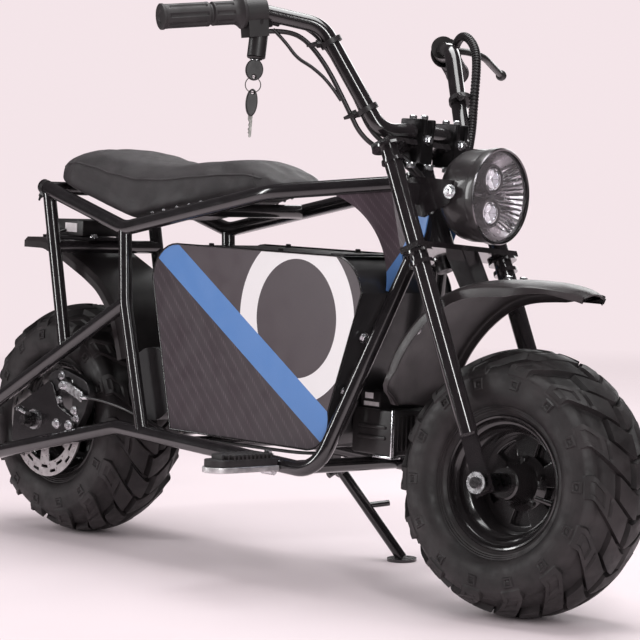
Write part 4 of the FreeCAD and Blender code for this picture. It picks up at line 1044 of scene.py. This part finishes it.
def seat_trim(made):
    """The welt along each shoulder, the seam at the nose and the staples above the rails."""
    tree = BVHTree.FromObject(made, bpy.context.evaluated_depsgraph_get())
    for side, word in ((-1, "right"), (1, "left")):
        starts = []
        for x in range(30, 452, 14):
            half, top = curve_through(SEAT_HALF, x), curve_through(SEAT_TOP, x)
            starts.append((x, side * (half + 40), top - 5.5 - 6 + 40 * 0.75))
        welt(tree, f"seat_welt_{word}", starts, (0, -side, -0.75), 1.5)
        # The seam where the nose's cover begins
        starts = []
        for z in range(0, 7):
            low = rail_top(440) + 4
            height = low + (curve_through(SEAT_TOP, 430) - 12 - low) * z / 6
            starts.append((446 - 2.0 * z, side * 150, height))
        welt(tree, f"seat_seam_{word}", starts, (0, -side, 0), 1.1)
        mesh = bmesh.new()
        for i in range(9):
            x = 250 + 24 * i
            spot = surface_point(tree, (x, side * 150, rail_top(x) + 5.5), (0, -side, 0))
            if spot:
                bar(mesh, spot - Vector((0, side * 1, 0)), spot + Vector((0, side * 0.9, 0)), 3.0, 12, 2.2)
        piece(f"seat_staples_{word}", mesh, "frame", "zinc_steel", smooth=40)


seat_trim(seat())


# Handlebar: grips, switch, keys, cables and their ties


def tie(mesh, middle, aim, radius, width=5, tail=(0, 0, -1), tail_length=11):
    """A cable tie: a band, its lock and its cut end."""
    middle, aim, tail = Vector(middle), Vector(aim).normalized(), Vector(tail).normalized()
    bar(mesh, middle - aim * width / 2, middle + aim * width / 2, radius, 28)
    lock = middle + tail * radius
    bar(mesh, lock - tail * 1, lock + tail * 5, width * 0.8, 4)
    side = aim.cross(tail)
    bar(mesh, lock + tail * 4, lock + tail * tail_length + side * 3, width * 0.55, 4, width * 0.3)


GRIP_END = Vector((524, -326, 751))
GRIP_AIM = (GRIP_END - Vector((586, -206, 774))).normalized()
GRIP_START = GRIP_END - GRIP_AIM * 114


# Radius and way out from the inner end
GRIP_PROFILE = [(22, 0), (22.5, 1.5), (22.5, 4), (21, 5.5), (18.0, 9), (16.2, 13), (16.2, 16), (16.2, 18),
                (16.2, 40), (16.2, 42.5), (16.2, 44), (15.2, 45.2), (13.6, 46.2), (13.6, 48.6), (15.6, 49.6),
                (16.6, 51), (16.6, 53.5), (16.6, 56), (16.6, 106), (16.6, 109), (16.6, 113), (17.6, 114),
                (17.6, 117), (16.4, 118), (9, 118), (7, 116.5), (0.5, 116.5)]
GRIP_STEPS = 96
GRIP_RIBS = 8
GRIP_GROOVE = 1.8


def on_side(point, side):
    """A point of the right side on either side."""
    return Vector((point[0], point[1] * -side, point[2]))


def grips():
    """A sleeve with long ribs outside a groove, and a shorter one and a cone inside it."""
    for side, word in ((-1, "right"), (1, "left")):
        mesh = bmesh.new()
        aim = on_side(GRIP_AIM, side)
        start = on_side(GRIP_START, side)
        turn = Matrix.Translation(start) @ aim.to_track_quat("Y", "Z").to_matrix().to_4x4()
        rows = []
        for radius, y in GRIP_PROFILE:
            row = []
            for i in range(GRIP_STEPS):
                angle = 2 * math.pi * i / GRIP_STEPS
                groove = 0.0
                if 17 < y < 42 or 55 < y < 108:
                    groove = GRIP_GROOVE * max(0.0, math.cos(GRIP_RIBS * angle)) ** 0.5
                row.append(mesh.verts.new(turn @ around(radius - groove, angle, y)))
            rows.append(row)
        grid_faces(mesh, rows, closed=True)
        made = piece(f"grip_{word}", mesh, "steering", "rubber", smooth=30)
        if side == -1:
            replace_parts(made, "grips")


grips()


def right_controls():
    """The key switch under the throttle, its key and a spare on a thin ring."""
    mesh = bmesh.new()
    head = Vector((588, -203, 762))
    foot = Vector((590, -208, 712))
    bar(mesh, head, foot, 12.5, 40)
    bar(mesh, foot, foot - Vector((0, 0, 2)), 12.5, 40, 11)
    bar(mesh, foot, foot - Vector((0, 0, 3.5)), 8.5, 32)
    block(mesh, head + Vector((-13, -13, -8)), head + Vector((13, 13, 8)), 3)
    bar(mesh, head + Vector((8, 10, 2)), head + Vector((14, 22, 0)), 6, 20)
    piece("key_switch", mesh, "steering", "dark_plastic", smooth=35)
    mesh = bmesh.new()
    bar(mesh, foot - Vector((0, 0, 3.4)), foot - Vector((0, 0, 4.2)), 6.5, 32)
    piece("key_switch_face", mesh, "steering", "zinc_steel", smooth=35)
    # The keys hang in a plane that faces the rider's right
    turn = Matrix.Translation(foot) @ Matrix.Rotation(math.radians(48), 4, "Z")
    mesh = bmesh.new()
    for centre, half_x, half_z in (((-1, -17), 12, 14.5), ((-1, -61), 8, 18.5)):
        outline = [(centre[0] + half_x * math.sin(a), centre[1] + half_z * math.cos(a))
                   for a in (2 * math.pi * i / 40 for i in range(40))]
        hole_z = centre[1] + (-half_z + 5 if half_z < 16 else half_z - 5)
        add_plate(mesh, [outline, arc_points(2.2, 0, 330, 11, (centre[0], hole_z))], 7, 1.6, turn)
    piece("key_heads", mesh, "steering", "dark_plastic", smooth=35)
    mesh = bmesh.new()
    blade = [(-4, -78), (2, -78), (2, -106), (0.6, -108), (-1.4, -107), (-1.4, -103), (-3, -101.5),
             (-1.6, -99.5), (-3.2, -97), (-1.6, -94), (-3, -91), (-1.8, -88), (-4, -84)]
    add_plate(mesh, [blade], 1.8, 0.2, turn)
    ring = hose([(turn @ Vector((-1 + 10.5 * math.sin(a), 1.5 * math.sin(2 * a), -37 + 10.5 * math.cos(a))))
                 for a in (2 * math.pi * i / 20 for i in range(21))], 0.7, 2)
    gather(mesh, ring)
    gather(mesh, hose([turn @ Vector(p) for p in ((-5, 0, -2), (2, 0, -3), (1, 0, 2))], 0.7, 2))
    piece("key_ring_and_blade", mesh, "steering", "chain_steel", smooth=35)


right_controls()


def fixed_hose(name, points, radius, body="steering"):
    """A cable fixed at both ends."""
    mesh = bmesh.new()
    gather(mesh, hose(points, radius))
    piece(name, mesh, body, "cable_black", smooth=60)


LOOM_PITCH = 4.2


def cables():
    """Two cables and a thin lead down the right of the bar, a corrugated loom down the left."""
    fixed_hose("throttle_cable", [
        (580, -196, 757), (604, -176, 766), (636, -150, 757), (662, -133, 722), (690, -111, 668),
        (706, -98, 628), (727, -74, 606), (742, -56, 594), (750, -40, 578), (753, -26, 567)], 3.6)
    fixed_hose("switch_cable", [
        (590, -196, 748), (608, -178, 752), (632, -160, 744), (660, -142, 708), (684, -121, 655),
        (700, -104, 616), (724, -68, 597), (738, -46, 583), (747, -25, 569)], 3.4)
    fixed_hose("key_lead", [
        (600, -190, 752), (612, -178, 738), (626, -166, 716), (644, -154, 706), (664, -138, 686),
        (676, -126, 664)], 2.4)
    mesh = bmesh.new()
    tie(mesh, (660, -138.5, 741), (75, 52, -136), 15.5, 7, (-0.55, -0.75, -0.2), 18)
    tie(mesh, (706, -106, 655), (75, 52, -136), 15.5, 7, (-0.6, -0.6, -0.4), 18)
    piece("cable_ties_right", mesh, "steering", "cable_black", smooth=30)
    # The loom's rings follow the line of its smooth route
    route = [(622, 182, 762), (640, 166, 782), (664, 154, 788), (690, 146, 768), (702, 136, 736),
             (712, 122, 690), (722, 110, 650), (732, 92, 616), (746, 66, 592), (752, 44, 566)]
    line = hose(route, 0, 0)
    along = [v.co.copy() for v in line.vertices]
    bpy.data.meshes.remove(line)
    mesh = bmesh.new()
    gather(mesh, hose(route, 5.2))
    for first, second in zip(along, along[1:]):
        count = max(1, round((second - first).length / LOOM_PITCH))
        aim = (second - first).normalized()
        for i in range(count):
            middle = first.lerp(second, (i + 0.5) / count)
            bar(mesh, middle - aim * 1.1, middle + aim * 1.1, 6.5, 16)
    piece("wiring_loom", mesh, "steering", "cable_black", smooth=35)
    mesh = bmesh.new()
    tie(mesh, (693, 117, 690), (75, -52, -136), 17, 7, (0.5, -0.75, 0.2), 16)
    piece("cable_tie_left", mesh, "steering", "cable_black", smooth=30)


cables()


BAR_X = 741                 # the handlebar's middle


def clamp_bolts():
    """The bar clamps' bolts and ribs, and the bolts under the upper clamp."""
    rows, ribs = [], []
    for y in (-37, 37):
        rows += [((BAR_X + x, y, 648), (0, 0, 1), 9, 6, 6.5) for x in (-9.6, 9.6)]
        rows.append(((BAR_X + 18, y, 622), (1, 0, 0), 10, 5, 7))
        ribs += [((BAR_X - 21, rib - 3.5, 627), (BAR_X + 21, rib + 3.5, 650), 2) for rib in (y - 9, y + 9)]
    rows += [((752, y, 589.8), (0, 0, -1), 11, 6, 8) for y in (-60, -20, 20, 60)]
    bolts("bar_clamp_bolts", "steering", rows)
    blocks("bar_clamp_ribs", "steering", ribs, "dark_alloy", 30)


clamp_bolts()


# Battery box: its rounded outline in a black lip, with bolts


def arc_through(start, via, end, steps=8):
    """Points from start to end on the circle through the middle one."""
    (ax, ay), (bx, by), (cx, cy) = start, via, end
    d = 2 * (ax * (by - cy) + bx * (cy - ay) + cx * (ay - by))
    a2, b2, c2 = ax * ax + ay * ay, bx * bx + by * by, cx * cx + cy * cy
    ox = (a2 * (by - cy) + b2 * (cy - ay) + c2 * (ay - by)) / d
    oy = (a2 * (cx - bx) + b2 * (ax - cx) + c2 * (bx - ax)) / d
    radius = math.hypot(ax - ox, ay - oy)
    first, last = math.atan2(ay - oy, ax - ox), math.atan2(cy - oy, cx - ox)
    turn = (last - first + math.pi) % (2 * math.pi) - math.pi
    angles = [first + turn * i / steps for i in range(steps + 1)]
    return [(ox + radius * math.cos(angle), oy + radius * math.sin(angle)) for angle in angles]


BOX_TOP, BOX_LOW, BOX_HALF = 463.4, 190, 86
BOX_OUTLINE = (
    [(308, BOX_LOW)]
    + arc_through((255, 411), (270, 446), (309, BOX_TOP))
    + arc_through((644, BOX_TOP), (690, 447), (708, 414))
    + arc_through((650, 248), (639, 204), (608, BOX_LOW))
)


def shrunk(outline, inset):
    """The outline moved in by a little."""
    points = [Vector(p) for p in outline]
    moved = []
    for i, here in enumerate(points):
        before, after = points[i - 1], points[(i + 1) % len(points)]
        normal = Vector((0, 0))
        for a, b in ((before, here), (here, after)):
            way = (b - a).normalized()
            normal += Vector((way.y, -way.x))
        normal.normalize()
        moved.append(tuple(here + normal * inset))
    return moved


def battery_box():
    """The printed box, a lip along both its sides, and the bolts of its front and lid."""
    mesh = bmesh.new()
    gather(mesh, plate([shrunk(BOX_OUTLINE, 2.4)], 2 * BOX_HALF - 1.2, 0.5))
    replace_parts(piece("battery_box_printed", mesh, "frame", "panel_print", smooth=25), "battery_box")
    mesh = bmesh.new()
    for y in (-BOX_HALF + 1, BOX_HALF - 1):
        add_plate(mesh, [BOX_OUTLINE, shrunk(BOX_OUTLINE, 2.6)], 2.6, 0.6, (0, y, 0))
    piece("battery_box_lip", mesh, "frame", "gloss_black", smooth=40)
    out = Vector((0.943, 0, -0.33))         # away from the box's front face
    spots = [(x, side * y, z) for side in (-1, 1) for x, y, z in ((663, 68, 276), (690, 62, 352))]
    bolts("battery_box_bolts", "frame", [(Vector(spot) - out * 1.5, out, 10, 4, 7.5) for spot in spots])
    mesh = bmesh.new()
    for x in (374, 525):
        for y in (-74, 74):
            bolt(mesh, (x, y, BOX_TOP - 2.4), (0, 0, 1), 7, 4, 5.5)
    block(mesh, (640, -84, BOX_TOP - 1), (668, 84, BOX_TOP + 2), 0.8)
    piece("battery_box_lid_bolts", mesh, "frame", "dark_alloy", smooth=30)


battery_box()


def controller():
    """A finned case under a smaller one with blank plates, held by an angle."""
    case = [((656, -46, 193), (735, 46, 255), 3)]
    for z in (214, 229):
        case += [((670, y - 2.2, z), (724, y + 2.2, z + 5), 1.5) for y in (-46.5, 46.5)]
    case += [((733, y - 1.2, 200), (737, y + 1.2, 248), 0.5) for y in range(-36, 40, 8)]
    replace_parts(blocks("controller_case", "frame", case, "dark_plastic"), "controller_box")
    blocks("fuse_case", "frame", [((662, -38, 254), (702, 38, 278), 3)], "dark_plastic")
    labels = [((672, -38.8, 268), (688, -37.8, 276), 0.3), ((670, -38.8, 258), (700, -37.8, 264), 0.3)]
    blocks("blank_plates", "frame", labels, "white_plate", 30)
    angle = [((735, -48, 192), (738, -44, 256), 0.6), ((700, -48, 189.5), (738, -30, 192.5), 0.6)]
    blocks("controller_angle", "frame", angle, "zinc_steel", 30)


controller()


# Front fender: a domed sheet with turned-down sides, a rounded beak and a hanging tongue

FENDER_Z = 439
FENDER_HALF = 74.0
FENDER_THICK = 2.4
# The fender's line from its tongue to its beak, from above the front axle
FENDER_LINE = [(-207, -176), (-203, -130), (-180, -80), (-140, -34), (-88, 0), (-6, 8),
               (60, 5), (88, -6)]


def front_fender():
    """A closed section, domed with turned-down sides, along the fender's line."""
    route = [(WHEELBASE + x, 0, FENDER_Z + z) for x, z in FENDER_LINE]
    line = hose(route, 0, 0)
    along = []
    for v in line.vertices:
        if not along or (v.co - along[-1]).length > 1:
            along.append(v.co.copy())
    bpy.data.meshes.remove(line)
    ways = [0.0]
    for first, second in zip(along, along[1:]):
        ways.append(ways[-1] + (second - first).length)
    end = ways[-1]
    mesh = bmesh.new()
    rings = []
    for i, (spot, way) in enumerate(zip(along, ways)):
        aim = (along[min(i + 1, len(along) - 1)] - along[max(i - 1, 0)]).normalized()
        out = Vector((-aim.z, 0, aim.x))
        to_beak, to_tongue = end - way, way
        half = FENDER_HALF
        if to_beak < 90:
            half *= max(0.12, 1 - ((90 - to_beak) / 90) ** 2.6) ** 0.5
        if to_tongue < 34:
            half *= max(0.30, 1 - ((34 - to_tongue) / 34) ** 2) ** 0.5
        skirt = 26 * min(1.0, 0.35 + to_beak / 150) * min(1.0, 0.3 + to_tongue / 80)
        ring = []
        section = [(-1.0, skirt), (-1.0, skirt * 0.6), (-0.985, 13), (-0.95, 10)]
        section += [(t / 10, 11 * abs(t / 10) ** 2.4) for t in range(-9, 10)]
        section += [(0.95, 10), (0.985, 13), (1.0, skirt * 0.6), (1.0, skirt)]
        inner = max(2.0, half - FENDER_THICK)
        inside = [(share * inner / half, drop if drop == skirt else drop + FENDER_THICK)
                  for share, drop in section]
        for share, drop in section + inside[::-1]:
            ring.append(mesh.verts.new(spot + Vector((0, share * half, 0)) - out * drop))
        rings.append(ring)
    grid_faces(mesh, rings, closed=True)
    mesh.faces.new(rings[0])
    mesh.faces.new(rings[-1])
    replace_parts(piece("front_fender_domed", mesh, "steering", "fender_plastic", smooth=50), "front_fender")
    rows = [((WHEELBASE - 165, -48, 366), (0.5, -0.6, -0.6), 8, 4, 7)]
    rows += [((WHEELBASE - 42, y, 443), (0, 0, 1), 9, 4, 7) for y in (-17, 17)]
    bolts("front_fender_bolts", "steering", rows)


front_fender()


# Dropouts, neck covers, brake caliper and its cable, nuts and washers

DROPOUT = [(-54, 190), (34, 240), (44, 234), (60, 202), (90, 191), (98, 182), (98, 163), (-40, 130),
           (-58, 140)]
AXLE_SLOT = [(-30, 186), (9, 186), (9, 169), (-30, 169)]
NECK_COVER = [(690, 549), (760, 551), (773, 523), (768, 500), (758, 478), (696, 478)]


def dropouts():
    """Plates between the rear loop's tubes, with a slot for the axle."""
    reach = reach_of("dropout_plates")
    mesh = bmesh.new()
    for side in (-1, 1):
        add_plate(mesh, [DROPOUT, AXLE_SLOT], 5, 0.6, (0, side * (reach - 2.5), 0))
        lug = side * (reach - 8)
        block(mesh, (46, lug - 3, 196), (88, lug + 3, 246), 2)
    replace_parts(piece("dropouts_slotted", mesh, "frame", "frame_paint", smooth=30), "dropout_plates")


def neck_covers():
    """Printed covers beside the head tube."""
    mesh = bmesh.new()
    for side in (-1, 1):
        add_plate(mesh, [NECK_COVER], 2, 0.4, (0, side * 29.4, 0))
    piece("neck_covers", mesh, "frame", "neck_print", smooth=30)


def caliper():
    """The caliper with its two pistons' caps, its arm, its bolts and its cable."""
    outline = (
        [(26, 214), (24, 244)] + arc_through((30, 252), (52, 259), (76, 257), 4)
        + arc_through((112, 248), (124, 240), (126, 220), 4)
        + [(118, 198), (102, 174), (86, 172), (72, 204), (48, 206)]
    )
    mesh = bmesh.new()
    add_plate(mesh, [outline], 14, 1.6, (0, -90, 0))
    bar(mesh, (74, -96, 236), (74, -103, 236), 13, 32, 11)
    bar(mesh, (48, -96, 234), (48, -99, 234), 10, 32, 9)
    block(mesh, (34, -86, 208), (72, -72, 238), 2)
    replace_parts(piece("caliper_body", mesh, "frame", "dark_alloy", smooth=35), "brake_caliper")
    mesh = bmesh.new()
    arm = [(68, 240), (80, 243), (120, 230), (125, 222), (119, 214), (108, 219), (76, 230), (68, 232)]
    add_plate(mesh, [arm], 3, 0.6, (0, -104.5, 0))
    bar(mesh, (119, -101, 221), (119, -109, 221), 4.5, 20)
    bar(mesh, (116, -105, 221), (134, -104, 222), 3.4, 16)
    heads = ((60, 249, 9), (36, 222, 8), (55, 211, 10), (93, 199, 9), (99, 187, 8), (74, 236, 10))
    for x, z, across in heads:
        bolt(mesh, (x, -97 if x != 74 else -106, z), (0, -1, 0), across, 4, 7)
    piece("caliper_arm_and_bolts", mesh, "frame", "zinc_steel", smooth=30)
    fixed_hose("rear_brake_cable", [
        (128, -104, 221.5), (150, -101, 222), (205, -95, 214), (236, -89, 204), (262, -81, 195),
        (292, -76, 183), (370, -70, 181), (480, -66, 181), (590, -62, 182), (636, -56, 192),
        (664, -46, 262)], 2.5, "frame")


def add_washer(mesh, radius, inner, outer, centre):
    """A washer round an axle, between two distances from the middle plane."""
    hole = 7.7
    turned(mesh, [(hole, inner), (radius, inner), (radius, outer), (hole, outer)], 40, centre)


def rear_nuts():
    """Washers behind the axle's nuts, chain adjusters and the dropout plates' bolts."""
    plates = reach_of("dropout_plates")
    mesh = bmesh.new()
    for side in (-1, 1):
        add_washer(mesh, 15.5, side * (plates + 0.2), side * (plates + 2.6), (0, 0, AXLE_Z))
        for x, z in ((57, 176), (88, 176)):
            bolt(mesh, (x, side * plates, z), (0, side, 0), 9, 5, 8)
        bar(mesh, (-34, side * (plates + 3), AXLE_Z + 12), (-4, side * (plates + 3), AXLE_Z + 4), 3, 14)
        bolt(mesh, (-34, side * (plates + 3), AXLE_Z + 12), (-1, 0, 0.26), 8, 5, 0)
    piece("rear_triangle_nuts", mesh, "frame", "zinc_steel", smooth=30)


dropouts()
neck_covers()
caliper()
rear_nuts()


# On the fork leg at a clamp: the clamp's height, from and to along the leg, and radius
COLLARS = ((606, -1, 3, 24), (598, -13, -8, 16), (462, 5, 9, 20), (462, -11, -5, 17))
LEG_HALF = 95               # the fork legs' distance from the middle plane
LEG_FOOT = (945.9, 164.8)   # a place on the legs' line, x and z


def front_nuts():
    """Washers inside the axle's nuts, and caps and collars on the fork legs at both clamps."""
    reach = reach_of("fork_legs")
    mesh = bmesh.new()
    for side in (-1, 1):
        add_washer(mesh, 14.5, side * (reach + 0.1), side * (reach + 2.4), (WHEELBASE, 0, AXLE_Z))
    piece("front_axle_washers", mesh, "steering", "zinc_steel", smooth=30)
    mesh = bmesh.new()
    rake = Vector((-math.sin(RAKE), 0, math.cos(RAKE)))
    for y in (-LEG_HALF, LEG_HALF):
        for z, low, high, radius in COLLARS:
            middle = Vector((LEG_FOOT[0] - math.tan(RAKE) * (z - LEG_FOOT[1]), y, z))
            bar(mesh, middle + rake * low, middle + rake * high, radius, 40, radius - 0.8)
    piece("fork_collars", mesh, "steering", "fork_paint", smooth=35)


front_nuts()


def footpegs():
    """A rounded alloy plate under a ribbed rubber pad on each side."""
    flat = Matrix.Rotation(math.radians(-90), 4, "X")
    bases, pads, bolts = bmesh.new(), bmesh.new(), bmesh.new()
    for side in (-1, 1):
        outline = [(538, 112), (582, 112)] + [(560 + 22 * math.cos(a), 204 + 22 * math.sin(a))
                                              for a in (math.pi * i / 16 for i in range(17))]
        for mesh, low, high, inset in ((bases, 160, 168, 0), (pads, 168, 178, 2.5)):
            place = (Matrix.Translation((0, 0, (low + high) / 2)) @ Matrix.Diagonal((1, side, 1, 1)) @ flat
                     @ Matrix.Diagonal((1, 1, -1, 1)))
            add_plate(mesh, [shrunk(outline, -inset)], high - low, 1.2, place)
        for i in range(12):
            y = side * (124 + 7.4 * i)
            half = 19.5 if i < 10 else 19.5 - 4 * (i - 9)
            block(pads, (560 - half, y - 1.9, 170), (560 + half, y + 1.9, 185), 0.8)
        bolt(bolts, (560, side * 114, 181), (0, 0, 1), 10, 5, 8)
        bar(bolts, (548, side * 112, 158), (572, side * 112, 158), 5, 16)
    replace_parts(piece("footpeg_plates", bases, "frame", "cast_alloy", smooth=30), "footpeg_bases")
    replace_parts(piece("footpeg_rubbers", pads, "frame", "rubber", smooth=35), "footpeg_pads")
    piece("footpeg_bolts", bolts, "frame", "zinc_steel", smooth=30)


footpegs()


def tail():
    """A black lamp case with a red end, a bolt and a blank plate."""
    case = blocks("tail_lamp_case", "frame", [((-62, -37, 460), (20, 37, 485), 3)], "dark_plastic")
    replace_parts(case, "tail_light")
    blocks("tail_lamp_lens", "frame", [((-69, -35, 462), (-60, 35, 484), 2.5)], "tail_lens")
    rows = [((-48, -37, 473), (0, -1, 0), 7, 3, 5)] + [((34, y, 459), (0, 0, 1), 9, 4, 7) for y in (-26, 26)]
    bolts("tail_bolts", "frame", rows)
    blocks("tail_blank_plate", "frame", [((-24, -37.9, 466), (6, -36.9, 480), 0.3)], "white_plate", 30)
    fixed_hose("tail_lamp_lead", [
        (-20, -30, 470), (-26, -52, 466), (-20, -72, 452), (-2, -88, 458), (6, -92, 486), (8, -97, 512)],
        2.2, "frame")
    mesh = bmesh.new()
    tie(mesh, (8, -100, 533), (0.95, 0.0, -0.25), 12.2, 6, (0.1, -0.7, -0.7), 12)
    piece("tail_tie", mesh, "frame", "cable_black", smooth=30)


tail()


# Camera, light and floor

CAMERA_PLACE = Vector((3504.8, -2667.8, 732.4)) * MM    # from the floor under the rear axle
CAMERA_DOWN, CAMERA_YAW = 5.24, 47.9
LENS = 159.35
BACKDROP = (0.905, 0.785, 0.815)


def camera():
    data = bpy.data.cameras.new("camera")
    data.lens = LENS
    data.sensor_width = 36
    made = bpy.data.objects.new("camera", data)
    made.location = Vector((GROUND.x, GROUND.y, 0)) + CAMERA_PLACE
    made.rotation_euler = (math.radians(90 - CAMERA_DOWN), 0, math.radians(CAMERA_YAW))
    bpy.context.scene.collection.objects.link(made)
    bpy.context.scene.camera = made


def softbox(name, place, aim, size, watts):
    data = bpy.data.lights.new(name, "AREA")
    data.shape = "RECTANGLE"
    data.size, data.size_y = size
    data.energy = watts
    made = bpy.data.objects.new(name, data)
    made.location = place
    made.rotation_mode = "QUATERNION"
    made.rotation_quaternion = (Vector(aim) - Vector(place)).to_track_quat("-Z", "Y")
    bpy.context.scene.collection.objects.link(made)


def pale_world():
    """A pale backdrop for the eye, a dim room for what is reflected."""
    world = bpy.data.worlds.new("studio")
    bpy.context.scene.world = world
    world.use_nodes = True
    nodes, links = world.node_tree.nodes, world.node_tree.links
    path = nodes.new("ShaderNodeLightPath")
    seen = nodes.new("ShaderNodeMath")
    seen.operation = "MAXIMUM"
    links.new(path.outputs["Is Camera Ray"], seen.inputs[0])
    links.new(path.outputs["Is Transmission Ray"], seen.inputs[1])
    room = nodes.new("ShaderNodeMix")
    room.data_type = "RGBA"
    room.inputs[6].default_value = (0.34, 0.32, 0.33, 1)
    room.inputs[7].default_value = (0.06, 0.055, 0.057, 1)
    links.new(path.outputs["Is Glossy Ray"], room.inputs[0])
    mix = nodes.new("ShaderNodeMix")
    mix.data_type = "RGBA"
    mix.inputs[7].default_value = (*BACKDROP, 1)
    links.new(seen.outputs[0], mix.inputs[0])
    links.new(room.outputs[2], mix.inputs[6])
    links.new(mix.outputs[2], nodes["Background"].inputs["Color"])


FLOOR_RADIUS = 5.0


def floor():
    """A pale disc that fades into the backdrop."""
    mesh = bmesh.new()
    bmesh.ops.create_circle(mesh, cap_ends=True, segments=96, radius=FLOOR_RADIUS)
    data = bpy.data.meshes.new("floor")
    mesh.to_mesh(data)
    mesh.free()
    finish = Finish("floor", (0.80, 0.70, 0.73), 0.6, Specular_IOR_Level=0.2)
    finish.worn(0.55, 0.65, 3)
    finish.mottled((0.82, 0.72, 0.75), (0.84, 0.735, 0.765), 1.5)
    away = finish.node("VectorMath", {0: finish.place}, operation="LENGTH").outputs["Value"]
    fade = finish.ramp(away, 0.9, 3.2)
    clear = finish.node("BsdfTransparent")
    mix = finish.node("MixShader", {0: fade})
    finish.tree.links.new(finish.shader.outputs[0], mix.inputs[1])
    finish.tree.links.new(clear.outputs[0], mix.inputs[2])
    finish.tree.links.new(mix.outputs[0], finish.tree.nodes["Material Output"].inputs[0])
    data.materials.append(finish.material)
    made = bpy.data.objects.new("floor", data)
    bpy.context.scene.collection.objects.link(made)


camera()
pale_world()
softbox("overhead", (0.1, 0.3, 2.4), (0, 0, 0.3), (2.4, 1.2), 52)
softbox("front_right", (2.2, -1.0, 1.2), (0.2, 0, 0.35), (0.28, 1.8), 26)
softbox("rear_right", (-1.5, -2.2, 1.2), (-0.1, 0, 0.3), (0.35, 1.8), 30)
softbox("behind", (-1.0, 2.2, 1.3), (0, 0, 0.4), (1.8, 1.2), 18)
floor()
bpy.context.scene.view_settings.view_transform = "Standard"
